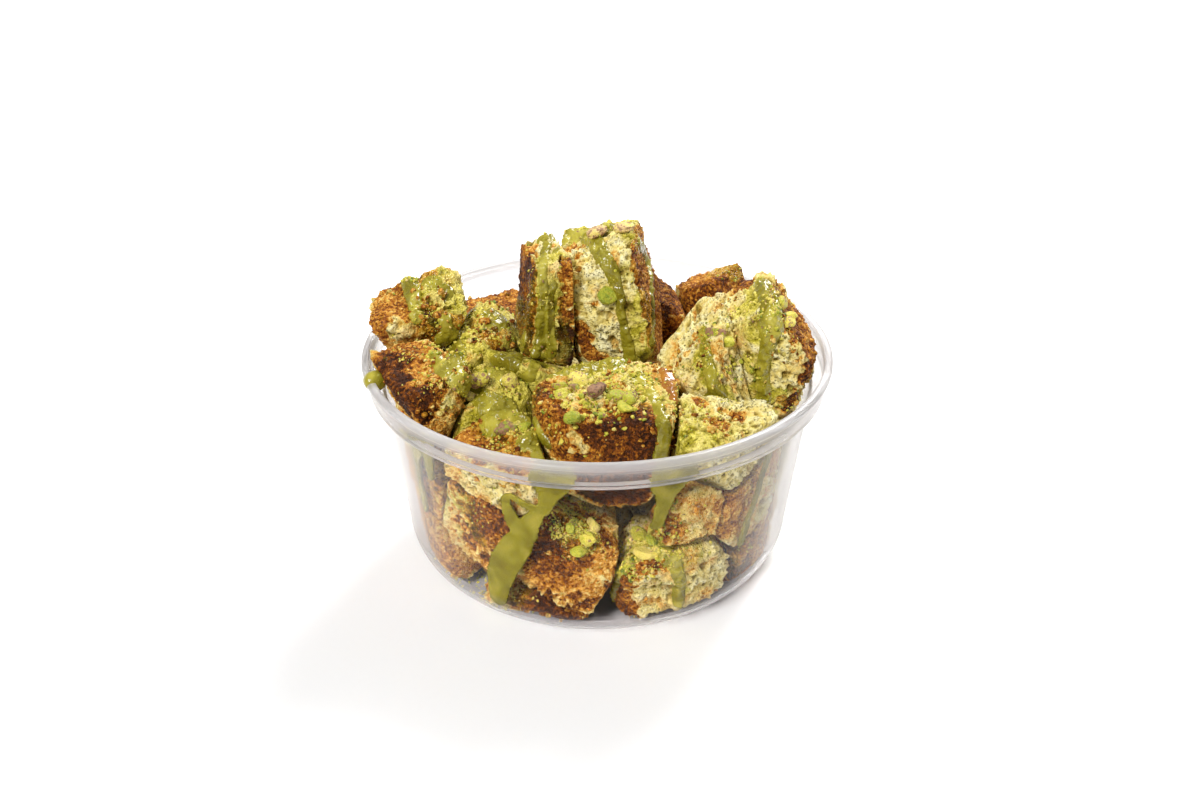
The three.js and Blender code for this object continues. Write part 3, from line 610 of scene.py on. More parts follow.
def own_pressure(bite, ways):
    """1 / radius ** EDGE_POWER of the block alone: its six sides and the planes of its tears."""
    local = ways @ bite["axes"]
    total = sum(pressure(local, bite["half"]).T) + sum(pressure(-local, bite["half"]).T)
    for azimuth, elevation, distance in bite.get("tears", ()):
        total = total + pressure(ways @ toward(azimuth, elevation), distance)
    return total


def limits_of(bite):
    """Planes between a bite and those near it: each gets its share of the space between."""
    for other in BITES.values():
        between = other["at"] - bite["at"]
        spacing = np.linalg.norm(between)
        if 0 < spacing < REACH:
            way = between / spacing
            mine, theirs = [
                own_pressure(one, side[None])[0] ** (-1 / EDGE_POWER) * one.get("share", 1)
                for one, side in ((bite, way), (other, -way))
            ]
            yield way, (spacing - GAP) * mine / (mine + theirs)


for bite in BITES.values():
    bite["limits"] = list(limits_of(bite))


def inner_radius(height):
    """Radius of the inside of the wall: an elliptic foot, then a straight taper."""
    rise = 1 - np.clip(height, 0, CORNER_HEIGHT) / CORNER_HEIGHT
    foot = BASE_RADIUS - WALL + (WALL_FOOT_RADIUS - BASE_RADIUS) * np.sqrt(1 - rise**2)
    taper = (WALL_TOP_RADIUS - WALL_FOOT_RADIUS) / (LEDGE_HEIGHT - CORNER_HEIGHT)
    return foot + taper * np.maximum(height - CORNER_HEIGHT, 0)


def heap_radius(height):
    """Radius that the heap keeps to: inside the wall by its gap, and flared above the ledge."""
    flare = RIM_FLARE * np.maximum(height - LEDGE_HEIGHT, 0)
    return np.minimum(inner_radius(height) - WALL_GAP + flare, RIM_RADIUS - RIM_INSET)


def distance_to_wall(bite, ways):
    """Found by halving the stretch from the bite's middle to beyond the wall, again and again."""
    near, far = np.zeros(len(ways)), np.full(len(ways), FARTHEST_WALL)
    for _ in range(HALVINGS):
        tried = (near + far) / 2
        point = bite["at"] + ways * tried[:, None]
        inside = np.hypot(point[:, 0], point[:, 1]) < heap_radius(point[:, 2])
        near, far = np.where(inside, tried, near), np.where(inside, far, tried)
    return np.maximum(near, NEAREST_WALL)


def lumps(bite, ways):
    """Slow lumps from 0 to 1: sine waves across the direction, each faster and weaker than
    the last. The long numbers only make their pitch differ from bite to bite."""
    total = 0
    for wave in range(LUMP_WAVES):
        phase = bite["seed"] * 1.618 + wave
        pitch = np.sin(np.array([12.9898, 78.233, 37.719]) * phase) * (2.2 + 1.3 * wave)
        total = total + np.sin(ways @ pitch + bite["seed"] * 2.4 + wave * 1.3) / (1 + 0.35 * wave)
    return np.clip(0.5 + total / 5, 0, 1)


def smooth(low, high, number):
    """0 below low, 1 above high and the cubic that joins them level at both ends."""
    share = np.clip((number - low) / (high - low), 0, 1)
    return share * share * (3 - 2 * share)


def unit(vectors):
    """Each vector over its own length."""
    return vectors / np.linalg.norm(vectors, axis=-1, keepdims=True)


def square_to(way, hint=(0.31, 0.87, 0.38)):
    """Two unit vectors square to a direction and to each other."""
    side = unit(np.cross(hint, way))
    return side, np.cross(way, side)


def pocket_depth(bite, ways):
    """Depth of the bite's hollows: full inside a rounded outline on the tangent plane."""
    depth = 0
    for azimuth, elevation, half_width, half_height, deep in bite.get("pockets", ()):
        axis = toward(azimuth, elevation)
        side, rise = square_to(axis, (0, 0, 1))
        ahead = np.maximum(ways @ axis, 0.1)
        x = ways @ side / ahead / math.tan(math.radians(half_width))
        y = ways @ rise / ahead / math.tan(math.radians(half_height))
        outline = 0.55 * np.maximum(abs(x), abs(y)) + 0.45 * np.hypot(x, y)
        depth = depth + deep * smooth(0, 0.5, 1.25 - outline) * (ways @ axis > 0.1)
    return depth


def block_radius(bite, ways):
    """Radius before lumps: the block's sides, its neighbours, the floor and the wall together.
    Also how far each point is pressed against a neighbour, from 0 to 1."""
    total = own_pressure(bite, ways)
    pressed = sum(pressure(ways @ way, limit) for way, limit in bite["limits"])
    total = total + pressed
    total = total + pressure(-ways[:, 2], bite["at"][2] - FLOOR - FLOOR_GAP)
    total = total + distance_to_wall(bite, ways) ** -float(EDGE_POWER)
    return total ** (-1 / EDGE_POWER), pressed / total


def surface(bite, ways):
    """Points of the bite's even surface, and how far out each lies before lumps and hollows."""
    block, _ = block_radius(bite, ways)
    radius = block * (1 - LUMP_DEPTH * lumps(bite, ways)) - pocket_depth(bite, ways)
    return bite["at"] + ways * radius[:, None], block


def scrambled(cells, seed):
    """A repeatable number from 0 to 1 for every cell of a lattice, by multiplying its place
    with large odd numbers and folding the high bits back over the low ones."""
    mixed = cells @ np.array([73856093, 19349663, 83492791]) + seed * 2654435761
    mixed = (mixed ^ (mixed >> 13)) * 1274126177 & 0xFFFFFFFF
    mixed = (mixed ^ (mixed >> 16)) * 2246822519 & 0xFFFFFFFF
    return (mixed >> 8) / 0xFFFFFF


CORNERS = list(itertools.product((0, 1), repeat=3))


def noise(points, size, seed):
    """Numbers from -1 to 1 at the corners of a lattice, blended smoothly inside each cell."""
    place = points / size
    cell = np.floor(place).astype(np.int64)
    share = smooth(0, 1, place - cell)
    total = 0
    for corner in CORNERS:
        weight = np.prod(np.where(corner, share, 1 - share), 1)
        total = total + weight * scrambled(cell + corner, seed)
    return 2 * total - 1


def wandering(points, reach, size, seed):
    """The points moved about by noise of this size, so that what is drawn on them is ragged."""
    return points + reach * np.stack([noise(points, size, seed + k) for k in range(3)], 1)


def pits(points, size, seed, kept=0.7, widest=0.5):
    """1 in the middle of round holes, one in most cells of a lattice, down to 0 at their edges."""
    place = points / size
    cell = np.floor(place - 0.5).astype(np.int64)
    deepest = np.zeros(len(points))
    for corner in CORNERS:
        near = cell + corner
        middle = near + np.stack([scrambled(near, seed + k) for k in (1, 2, 3)], 1)
        width = widest * (0.45 + 0.55 * scrambled(near, seed + 4))
        off = ((place - middle) ** 2).sum(1) / width**2
        deepest = np.maximum(deepest, (1 - off) * (scrambled(near, seed + 5) < kept))
    return deepest


def block_lattice(half, spacing):
    """Directions to the points of a closed lattice on a block's six sides, and its four-sided
    faces, facing out. Each side is a grid of two parameters, joined to the others at its edges."""
    counts = np.maximum(3, np.ceil(2 * np.array(half) / spacing)).astype(int)
    faces = []
    for axis in range(3):
        b, c = (axis + 1) % 3, (axis + 2) % 3
        i, j = np.meshgrid(np.arange(counts[b]), np.arange(counts[c]), indexing="ij")
        for end in (0, 1):
            corners = np.empty(i.shape + (4, 3), np.int64)
            corners[..., axis] = end * counts[axis]
            for k, (di, dj) in enumerate(((0, 0), (1, 0), (1, 1), (0, 1))):
                corners[..., k, b], corners[..., k, c] = i + di, j + dj
            faces.append((corners if end else corners[..., ::-1, :]).reshape(-1, 4, 3))
    faces = np.concatenate(faces)
    keys = (faces[..., 0] * (counts[1] + 1) + faces[..., 1]) * (counts[2] + 1) + faces[..., 2]
    kept, where = np.unique(keys, return_inverse=True)
    rest, k = np.divmod(kept, counts[2] + 1)
    i, j = np.divmod(rest, counts[1] + 1)
    local = (np.stack([i, j, k], 1) / counts * 2 - 1) * half
    return local, where.reshape(-1, 4)


def toast_of(bite, points, ways, block):
    """How brown each point is: crust lies within a millimetre or so under the block's baked
    sides, and marks add scorched or bare patches with ragged edges."""
    local = (ways @ bite["axes"]) * block[:, None]
    thickness = 0.3 + 0.8 * noise(points, 2.6, 11) + 0.5 * noise(points, 0.9, 12)
    toast = np.zeros(len(points))
    for side, tone in bite.get("crust", {}).items():
        axis = "xyz".index(side[0])
        under = bite["half"][axis] - local[:, axis] * (1 if side[1] == "+" else -1)
        toast = np.maximum(toast, tone * (1 - smooth(0.7, 1.9, under - thickness)))
    for kind in bite.get("order", ("toast", "bare")):
        for azimuth, elevation, radius, *tone in bite.get(kind, ()):
            middle, _ = surface(bite, toward(azimuth, elevation)[None])
            off = np.linalg.norm(points - middle, axis=1) / radius
            ragged = off + 0.4 * noise(points, 2.8, 13) + 0.3 * noise(points, 1.0, 14)
            inside = 1 - smooth(0.7, 1.1, ragged)
            toast = np.maximum(toast, tone[0] * inside) if tone else toast * (1 - inside)
    tips = smooth(0.45, 0.85, noise(points, 2.2, 15) + 0.6 * noise(points, 6.0, 16))
    toast = np.maximum(toast, 0.2 * tips)
    toast = np.maximum(toast, bite.get("tan", 0.1) * (1 + noise(points, 3.2, 18)))
    return toast * (1 + 0.3 * noise(points, 4.5, 17))


# Pores of the torn crumb: the spacing and seed of their lattice, the share of its cells that
# have one, how deep they are, and how far down in each the painted shade inside it starts and ends
PORES = [
    (4.6, 31, 0.35, 1.3, 0.15, 0.75),
    (2.2, 47, 0.75, 0.9, 0.2, 0.8),
    (1.15, 53, 0.75, 0.6, 0.25, 0.9),
]


def bite_surface(bite, points, ways, block):
    """Outward move of every point for pores, grains and torn threads, with the finish's masks."""
    toast = toast_of(bite, points, ways, block)
    soak = np.zeros(len(points))
    uneven = 0.25 * noise(points, 3.5, 21)
    for x, y, z, radius, strength in SOAKED:
        off = np.linalg.norm(points - (x, y, z), axis=1) / radius + uneven
        soak = np.maximum(soak, strength * (1 - smooth(0.6, 1.25, off)))
    soak *= bite.get("drinks", 1)
    crusty = smooth(0.16, 0.34, toast)
    wobbly = wandering(points, 0.35, 1.3, 55)
    open_crumb, pore_shade = 0, 0
    for spacing, seed, kept, deep, starts, ends in PORES:
        hole = pits(wobbly, spacing, seed + bite["seed"], kept)
        open_crumb = open_crumb - deep * hole
        pore_shade = pore_shade + smooth(starts, ends, hole)
    folds = 1 - 2 * abs(noise(points * bite.get("stretch", (1, 1, 0.7)), 2.2, 62))
    open_crumb += bite.get("fold", 0.5) * folds + 0.4 * noise(points, 0.95, 61)
    open_crumb += 0.7 * pits(wobbly, 1.5, 65 + bite["seed"], 0.85, 0.6) + 0.1
    grains = pits(wobbly, 1.1, 71 + bite["seed"], 0.9, 0.62)
    baked = 0.55 * grains + 0.45 * noise(points, 2.6, 72) + 0.25 * noise(points, 0.9, 73) - 0.4
    relief = crusty * baked + (1 - crusty) * open_crumb
    # rise: height in the relief from the hollows (0) to the peaks (1); the finish paints light on
    # the peaks and shade in the hollows from it
    rise = crusty * smooth(-0.75, 0.35, baked) + (1 - crusty) * smooth(-1.3, 0.9, open_crumb)
    # pore_shade: painted shade in the pores of the open crumb, darkest deep in each
    pore_shade = (1 - crusty) * np.minimum(pore_shade, 1)
    ragged = 0.8 * noise(points, 6.5, 81) + 0.4 * noise(points, 3.4, 82) - 0.25
    _, pressed = block_radius(bite, ways)
    closes = bite.get("closes", 0.25)
    shut = smooth(0.4 - 0.35 * closes, 0.9 - 0.35 * closes, pressed)
    outward = (relief * (1 - 0.15 * soak) + ragged) * (1 - 0.85 * shut)
    return outward + closes * shut, dict(toast=toast, soak=soak, pore_shade=pore_shade, rise=rise)


waffle = Finish("waffle_crumb_and_crust")
# rise and pore_shade carry painted light: each ramp is lighter on the peaks of the relief and
# painted with shade in its hollows and pores
toast, soak, pore_shade, rise = [waffle.attribute(name) for name in ("toast", "soak", "pore_shade", "rise")]
cloudy = waffle.noise(5, detail=3)
fine = waffle.noise(1.0, detail=4, roughness=0.65)
grainy = waffle.noise(0.45, detail=2, roughness=0.7)
grain = waffle.node("ShaderNodeSeparateColor", {"Color": waffle.cells(0.62, "Color")})
rounded = waffle.cells(0.62)
# holes and shaded_pinholes: small holes in the crumb, dents in its bump and painted dark with
# shade
holes = waffle.noise(0.9, detail=3, roughness=0.6).between(0.2, 0.02)
shaded_pinholes = waffle.cells(0.8).between(0.38, 0.16) * cloudy.between(0.2, 0.6) + holes
# Crumb: painted lighter on the peaks (rise) and darker in the hollows, as painted light and shade
crumb = waffle.ramp(
    cloudy * 0.35 + fine * 0.25 + grainy * 0.2 + rise * 0.5 - 0.15,
    (0.1, (0.22, 0.13, 0.012)),
    (0.3, (0.52, 0.37, 0.06)),
    (0.5, (0.76, 0.60, 0.165)),
    (0.7, (0.88, 0.76, 0.32)),
    (0.9, (0.95, 0.88, 0.52)),
)
# Painted shade: the crumb darkened in its pinholes
crumb = waffle.mix(shaded_pinholes.at_most(1) * 0.62, crumb, (0.15, 0.09, 0.009))
# Crust: its own browning and sugar grain, plus painted light, lighter on the peaks (rise) and
# darker in the hollows
baked = waffle.ramp(
    toast + (grain - 0.5) * 0.46 + (grainy - 0.5) * 0.2 + (0.6 - rise) * 0.3,
    (0.04, (0.88, 0.64, 0.20)),
    (0.2, (0.78, 0.42, 0.075)),
    (0.38, (0.58, 0.235, 0.022)),
    (0.58, (0.30, 0.085, 0.006)),
    (0.78, (0.11, 0.028, 0.004)),
    (1.0, (0.04, 0.012, 0.004)),
)
# Soaked crumb: painted yellow highlight on the peaks (rise) and painted dark olive shade in the
# hollows
soaked = waffle.ramp(
    fine * 0.3 + cloudy * 0.3 + grainy * 0.25 + rise * 0.6 - 0.22,
    (0.12, (0.075, 0.052, 0.002)),
    (0.35, (0.21, 0.175, 0.007)),
    (0.6, (0.43, 0.36, 0.022)),
    (0.85, (0.80, 0.685, 0.125)),
)
crust_shows = toast.between(0.08, 0.22)
colour = waffle.mix(crust_shows, crumb, baked)
# Painted shade in the pores of the crumb
colour = waffle.mix(pore_shade * 0.7 * (1 - crust_shows), colour, (0.13, 0.085, 0.008))
damp = (soak * 1.15 + (fine - 0.5) * 0.5).between(0.2, 0.8)
colour = waffle.mix(damp * (1 - crust_shows * 0.7), colour, soaked)
relief = fine * 0.4 + grainy * 0.3 - shaded_pinholes * 0.5 - rounded * crust_shows * 0.5
waffle.finished(waffle.body({
    "Base Color": colour,
    "Roughness": 0.8 - crust_shows * 0.25 - damp * 0.48 + (grainy - 0.5) * 0.15,
    "Normal": waffle.bump(relief, 0.8, 1.0),
    "Specular IOR Level": 0.16,
}))

# Spacing of the points on a bite, by how closely it is seen
SPACINGS = {"close": 0.36, "shown": 0.5, "back": 0.75, "hidden": 1.6}
for name, bite in BITES.items():
    local, faces = block_lattice(bite["half"], SPACINGS[bite["seen"]])
    ways = unit(local @ bite["axes"].T)
    points, block = surface(bite, ways)
    outward, masks = bite_surface(bite, points, ways, block)
    bite["torn"] = points, ways, faces, outward
    torn = points + ways * outward[:, None]
    add_piece(f"{name}_torn", torn, faces, waffle, masks, [name])


# Sauce on the bites: thick glossy pistachio cream, poured over the heap. It stands a millimetre
# or so proud with rounded edges, in drips down the torn faces and pools on the tops, and sinks
# into the crumb below.
# Each drip is a list of places with half widths: (x, y, z, half width). A pool is one such.
POURS = [
    [(-1.8, 13.9, 81, 2.21), (1.2, 1.5, 81.2, 2.02), (3.6, -2.4, 78.4, 1.75), (5, -3.3, 74, 1.38),
     (5.9, -3.8, 69.5, 1.2), (6.8, -4.2, 64.2, 1.15), (7.6, -4.6, 59.7, 1.29),
     (7.9, -4.1, 56.1, 1.66)],
    [(10.5, 7.6, 82.6, 1.38), (13.1, 14.2, 74.9, 1.01), (13.5, 8.1, 71.3, 0.83),
     (14.1, 2.7, 67.2, 1.1), (14.1, 1, 62.5, 1.47), (13, -3.4, 60.5, 1.66)],
    [(-6.5, 20.2, 79.5, 1.66), (-8, 17.1, 78.6, 1.1), (-8.7, 13.8, 76.7, 0.83)],
    [(-12.7, 8.6, 80.6, 1.38), (-12.9, -6.3, 81.2, 1.2), (-13, -7.4, 73.6, 1.1),
     (-13.7, -7.3, 65.2, 1.2), (-14, -7.3, 61.1, 1.38)],
    [(-9.8, 3.9, 81.5, 1.29), (-10.6, -7, 77, 1.01), (-11.5, -6.7, 67.6, 1.2),
     (-11.4, -6.5, 58.8, 1.47)],
    [(-47.6, 9.4, 71, 2.12), (-46.2, 5.4, 70.1, 2.02), (-45.1, 1.2, 68.5, 1.84),
     (-44.3, -2, 66.4, 1.93)],
    [(-39, -15, 63.1, 1.2), (-36.9, -19.9, 63, 1.56), (-34.9, -25.6, 63.3, 1.66)],
    [(-37.5, -0.2, 65, 1.47), (-36.9, -0.6, 61.9, 1.75), (-35.9, 2.2, 56.3, 2.39),
     (-32.6, -19.6, 63.4, 2.58)],
    [(-18, -4.9, 61.3, 2.02), (-19.7, 5.1, 53.4, 2.21), (-20.4, -12.6, 59.2, 2.21),
     (-22.1, -13.8, 56.3, 2.39)],
    [(-15, -7, 59.1, 1.29), (-15.4, -11.9, 58, 1.47), (-16.7, -15.1, 56.2, 1.66)],
    [(-34.9, -20.6, 63.4, 2.58), (-33, -25.7, 63.4, 2.94), (-31.2, -25.9, 60.9, 2.58),
     (-31.1, -17.2, 53.5, 2.21)],
    [(-29.4, -20.2, 54.6, 2.39), (-25.9, -22.7, 53.8, 3.31), (-22.3, -24, 52.6, 3.59),
     (-18.8, -27.9, 53.5, 3.13), (-16.6, -30.2, 53.1, 2.21)],
    [(-26.3, -24.8, 52.8, 2.3), (-25.1, -28.8, 52.3, 2.39), (-24.5, -31.3, 51.6, 1.84)],
    [(10, -25.3, 61.1, 1.66), (12.4, -30.5, 60.5, 1.75), (14.2, -37.3, 59.9, 1.66),
     (15.2, -41.6, 58.4, 1.56), (15.7, -41.7, 55.1, 1.56), (15.4, -41.2, 51.6, 1.66),
     (15.1, -40.3, 47.6, 1.84)],
    [(-9.7, -22.5, 60.6, 2.21), (-5.2, -19.6, 61.2, 2.94), (0.2, -16.7, 61.1, 3.31),
     (4.2, -16.7, 61.4, 2.94)],
    [(25.2, -10.7, 65.8, 1.47), (25.7, -15.2, 63.8, 1.38), (26.2, -19.6, 61.8, 1.47),
     (27, -23.7, 59.7, 1.75), (29.2, -21.5, 53.9, 1.93)],
    [(39.5, 1.8, 73.6, 1.47), (40.2, -5.9, 73.4, 1.84), (41, -14.7, 72.8, 2.39),
     (41.1, -15.4, 69.2, 2.58), (40.3, -15.2, 63.8, 2.02), (40.2, -14.3, 57.9, 1.56),
     (40.6, -13.7, 51.8, 1.84), (40.5, -12.8, 46.5, 1.66)],
    [(42.9, -5.2, 74.4, 1.1), (43.7, -9.1, 72.8, 1.38), (42.2, -14.9, 72.1, 1.47)],
    [(-14.2, -31.9, 53.1, 1.84), (-13.6, -34.9, 51.6, 2.02), (-13.1, -38, 50.2, 2.12),
     (-12.7, -41.4, 49.6, 2.12)],
    [(3.4, -35.7, 3.9, 1.1), (3.8, -36.6, 9.5, 1.2), (5.9, -42.8, 19.1, 1.29),
     (9.1, -43.1, 23.1, 1.38), (12.4, -42, 24.3, 1.56), (15.7, -42.4, 24.9, 1.66),
     (18, -43.8, 23.9, 1.56), (19.1, -43.3, 18.3, 1.66), (19.6, -41.3, 12.4, 1.66),
     (20, -40.8, 8.2, 1.47)],
]
POOLS = [
    (0.2, 15.6, 81.7, 4.67), (5.2, 13.4, 83.1, 4.67), (-4.4, 16.8, 79.8, 3.4),
    (-12.4, 14.3, 80.3, 3.4), (-41.5, 8.1, 70.8, 2.72), (-38.1, 6.4, 69.1, 2.21),
    (-32.7, 11.7, 60.1, 2.21), (-38, -0.6, 59.1, 2.55), (-23.7, -11, 57.5, 3.06),
    (-33, -25, 63.6, 3.06), (-23, -24, 52.9, 3.74), (0.7, -18.3, 61.4, 5.95),
    (-4.1, -20, 61.2, 5.1), (10, -25.3, 61.1, 3.4), (27.9, -22.4, 55.5, 2.98),
    (40.2, -0.5, 74.1, 2.98), (41.5, -15.5, 70.5, 3.4), (-26, 7.9, 61.1, 4.25),
    (-15.4, -36.9, 51.7, 2.55), (16.6, -44.1, 24.4, 2.55),
]
POUR_THICKNESS = 1.0
POOL_THICKNESS = 0.55
POUR_REACH = 28
FULL_WIDTH = 1.6
OFF_SAUCE = 9.0
SAUCE_SINK = 0.5
CRUMB_SHOWS_THROUGH = 0.7


def sampled(stations, steps=10):
    """Catmull-Rom curve through the stations, each a place and a half width."""
    stations = np.array(stations, float)
    before, after = 2 * stations[0] - stations[1], 2 * stations[-1] - stations[-2]
    a, b, c, d = [
        np.concatenate([[before], stations, [after]])[k : len(stations) - 1 + k][:, None]
        for k in range(4)
    ]
    t = np.linspace(0, 1, steps)[None, :, None]
    curve = 0.5 * (2 * b + (c - a) * t + (2 * a - 5 * b + 4 * c - d) * t**2)
    return (curve + 0.5 * (3 * b - a - 3 * c + d) * t**3).reshape(-1, stations.shape[1])


def thickness_over(points, pours, pools):
    """Height of sauce at each point: the round of a half circle across every drip and pool,
    added as fourth powers so that they run together, and below 0 outside them."""
    swell = 1 + 0.25 * noise(points, 5.0, 91) + 0.16 * noise(points, 1.9, 90)
    wander = wandering(points, 0.5, 4.0, 92)
    total, edge = np.zeros(len(points)), np.full(len(points), OFF_SAUCE)
    lines = [(sampled(pour), POUR_THICKNESS) for pour in pours]
    discs = [(np.array([pool]), POOL_THICKNESS) for pool in pools]
    for samples, thickness in lines + discs:
        near = np.linalg.norm(points - samples[:, :3].mean(0), axis=1) < POUR_REACH
        if near.any():
            off = np.linalg.norm(wander[near, None] - samples[None, :, :3], axis=2)
            off = (off / samples[:, 3]).min(1)
            rise = thickness * np.minimum(1, samples[:, 3].mean() / FULL_WIDTH)
            total[near] += (rise * np.maximum(1 - off**2, 0) ** 0.65) ** 4
            edge[near] = np.minimum(edge[near], off)
    return np.where(edge < 1, total**0.25 * swell, -0.6 * np.minimum(edge - 1, 1)), edge


def sheet(over, under, faces, kept):
    """Closed skin of the kept faces: the sauce's top, its underside turned over, and a wall
    round every edge that only one kept face has."""
    faces = faces[kept]
    edges = np.concatenate([faces[:, [k, (k + 1) % 4]] for k in range(4)])
    key = np.sort(edges, 1) @ np.array([len(over), 1])
    _, first, count = np.unique(key, return_index=True, return_counts=True)
    rim = edges[first[count == 1]]
    wall = np.stack([rim[:, 1], rim[:, 0], rim[:, 0] + len(over), rim[:, 1] + len(over)], 1)
    faces = np.concatenate([faces, faces[:, ::-1] + len(over), wall])
    used, faces = np.unique(faces, return_inverse=True)
    return np.concatenate([over, under])[used], faces.reshape(-1, 4)


def joined(parts):
    """Several pieces' points and faces as one, each part's faces shifted past the last's."""
    starts = np.cumsum([0] + [len(points) for points, _ in parts[:-1]])
    faces = np.concatenate([faces + start for (_, faces), start in zip(parts, starts)])
    return np.concatenate([points for points, _ in parts]), faces


def sauce_finish(name, gloss):
    """Pistachio cream. gloss is 1 for a free wet surface, near 0 where it lies on plastic."""
    sauce = Finish(name)
    streaks = sauce.noise(7, detail=2, distortion=0.6)
    cream = sauce.ramp(
        streaks,
        (0.1, (0.17, 0.138, 0.006)),
        (0.5, (0.265, 0.222, 0.013)),
        (0.9, (0.41, 0.35, 0.04)),
    )
    specks = sauce.noise(0.5, detail=1).between(0.8, 0.95)
    specked = sauce.mix(specks * 0.35, cream, (0.5, 0.5, 0.08))
    sauce.finished(sauce.body({
        "Base Color": sauce.mix(0.35 * (1 - gloss), specked, (0.14, 0.12, 0.015)),
        "Roughness": 0.2 + streaks * 0.14,
        "Specular IOR Level": 0.42 * gloss,
        "Subsurface Weight": 0.15,
        "Subsurface Radius": (0.0016, 0.0016, 0.0004),
        "Coat Weight": 0.22 * gloss,
        "Coat Roughness": 0.08,
        "Normal": sauce.bump(sauce.noise(2, detail=2), 0.35, 0.5),
    }))
    return sauce


def sauce_over_bites(pours, pools):
    """Sheets over all the bites that show, each on its own bite's torn lattice."""
    parts = []
    for bite in BITES.values():
        if bite["seen"] in ("back", "hidden"):
            continue
        points, ways, faces, outward = bite["torn"]
        height, edge = thickness_over(points, pours, pools)
        level = CRUMB_SHOWS_THROUGH * outward + height
        top = bite.get("top", outward)
        bite["top"] = np.where(edge < 1, np.maximum(top, level), top)
        kept = (edge[faces] < 1).any(1)
        if kept.any():
            under = points + ways * (np.minimum(outward, 0) - SAUCE_SINK)[:, None]
            parts.append(sheet(points + ways * level[:, None], under, faces, kept))
    return joined(parts)


sauce = sauce_finish("pistachio_sauce", 1)
points, faces = sauce_over_bites(POURS, POOLS)
add_piece("sauce_on_bites", points, faces, sauce)


# Syrup: one amber drip of the caramel that coats the waffles, over the front bite's back corner.
SYRUP = [
    [(16.8, -18, 60.9, 1.7), (17.4, -21.5, 59.6, 1.9), (17.6, -27.7, 59.8, 1.8),
     (17.7, -31.6, 59.3, 1.5)],
]
syrup = Finish("amber_syrup")
cloud = syrup.noise(3, detail=2)
syrup.finished(syrup.body({
    "Base Color": syrup.mix(cloud, (0.22, 0.075, 0.006), (0.4, 0.165, 0.02)),
    "Roughness": 0.2,
    "Coat Weight": 0.2,
    "Normal": syrup.bump(cloud, 0.3, 0.4),
}))
points, faces = sauce_over_bites(SYRUP, [])
add_piece("syrup_drip", points, faces, syrup)


# Whole kernels: shelled pistachios lying on the bites, bright green or yellow under a thin
# purple-brown skin that has come off in patches.
# Each: the bite it lies on, at which azimuth and elevation, its half sizes, its turn, how much
# skin is left on it, and how yellow its flesh is.
KERNELS = {
    "kernel_tall_left": ("bite_tall", (150, 80), (2.9, 2.2, 1.5), 15, 0.38, 1.0),
    "kernel_tall_right": ("bite_tall", (335, 77), (3.1, 2.2, 1.4), -10, 0.3, 0.92),
    "kernel_front_brown": ("bite_front", (250, 65), (2.8, 1.9, 1.6), 40, 0.85, 0.5),
    "kernel_front_green": ("bite_front", (243, 36), (2.2, 1.7, 1.5), 10, 0.02, 0.3),
    "kernel_left": ("bite_soaked_front", (225, 82), (3, 2.3, 1.8), 20, 0.5, 0.65),
}
KERNEL_GAP = 0.55
NORMAL_STEP = 0.12


def even_normal(bite, ways):
    """Outward normal of the bite's even surface, from four points close round each."""
    side, rise = square_to(ways)
    steps = [NORMAL_STEP * step for step in (side, -side, rise, -rise)]
    right, left, above, below = [surface(bite, unit(ways + step))[0] for step in steps]
    return unit(np.cross(right - left, above - below))


def upright(normal):
    """Rotation that takes +Z to the normal by the shortest turn."""
    x, y, z = normal
    k = 1 / (1 + z)
    return np.array([[1 - x * x * k, -x * y * k, x], [-x * y * k, 1 - y * y * k, y], [-x, -y, z]])


def kernel_points(half, seed, around=40, along=28):
    """An egg drawn out to one end, with a seam round its long side and soft wrinkles."""
    turns, ends = np.arange(around) / around * 2 * math.pi, np.linspace(0, math.pi, along)
    angle, share = np.meshgrid(turns, ends, indexing="xy")
    x = np.cos(share)
    width = np.sin(share) ** 0.85 * (1 - 0.12 * x)
    y, z = width * np.cos(angle), width * np.sin(angle)
    ball = np.stack([x, y, z], -1).reshape(-1, 3)
    seam = 1 - 0.09 * np.exp(-((ball[:, 2] / 0.12) ** 2)) * (abs(ball[:, 0]) < 0.97)
    shape = ball * np.array(half) * 0.98
    rough = 0.07 * noise(shape, 1.5, seed) + 0.05 * noise(shape, 0.6, seed + 50)
    shape *= (seam - 0.08 - rough)[:, None]
    shape[:around] = shape[:around].mean(0)
    shape[-around:] = shape[-around:].mean(0)
    return shape, grid_faces(along, around, wrap=True)[:, [0, 3, 2, 1]]


pistachio = Finish("pistachio_kernel")
mottle = pistachio.noise(1.3, detail=5, roughness=0.7)
flesh = pistachio.ramp(
    pistachio.attribute("hue") + (mottle - 0.5) * 0.4,
    (0.0, (0.10, 0.15, 0.008)),
    (0.2, (0.25, 0.31, 0.018)),
    (0.45, (0.50, 0.48, 0.03)),
    (0.65, (0.74, 0.62, 0.075)),
    (0.85, (0.86, 0.71, 0.17)),
    (1.0, (0.74, 0.50, 0.22)),
)
skin = pistachio.mix(mottle.between(0.35, 0.65), (0.14, 0.055, 0.032), (0.36, 0.19, 0.09))
skinned = (pistachio.attribute("skin") + (mottle - 0.5) * 1.5).between(0.44, 0.56)
pistachio.finished(pistachio.body({
    "Base Color": pistachio.mix(skinned, flesh, skin),
    "Roughness": 0.5 + (mottle - 0.5) * 0.3,
    "Subsurface Weight": 0.1,
    "Subsurface Radius": (0.001, 0.001, 0.0003),
    "Normal": pistachio.bump(pistachio.noise(0.6, detail=4, roughness=0.6), 0.4, 0.9),
}))

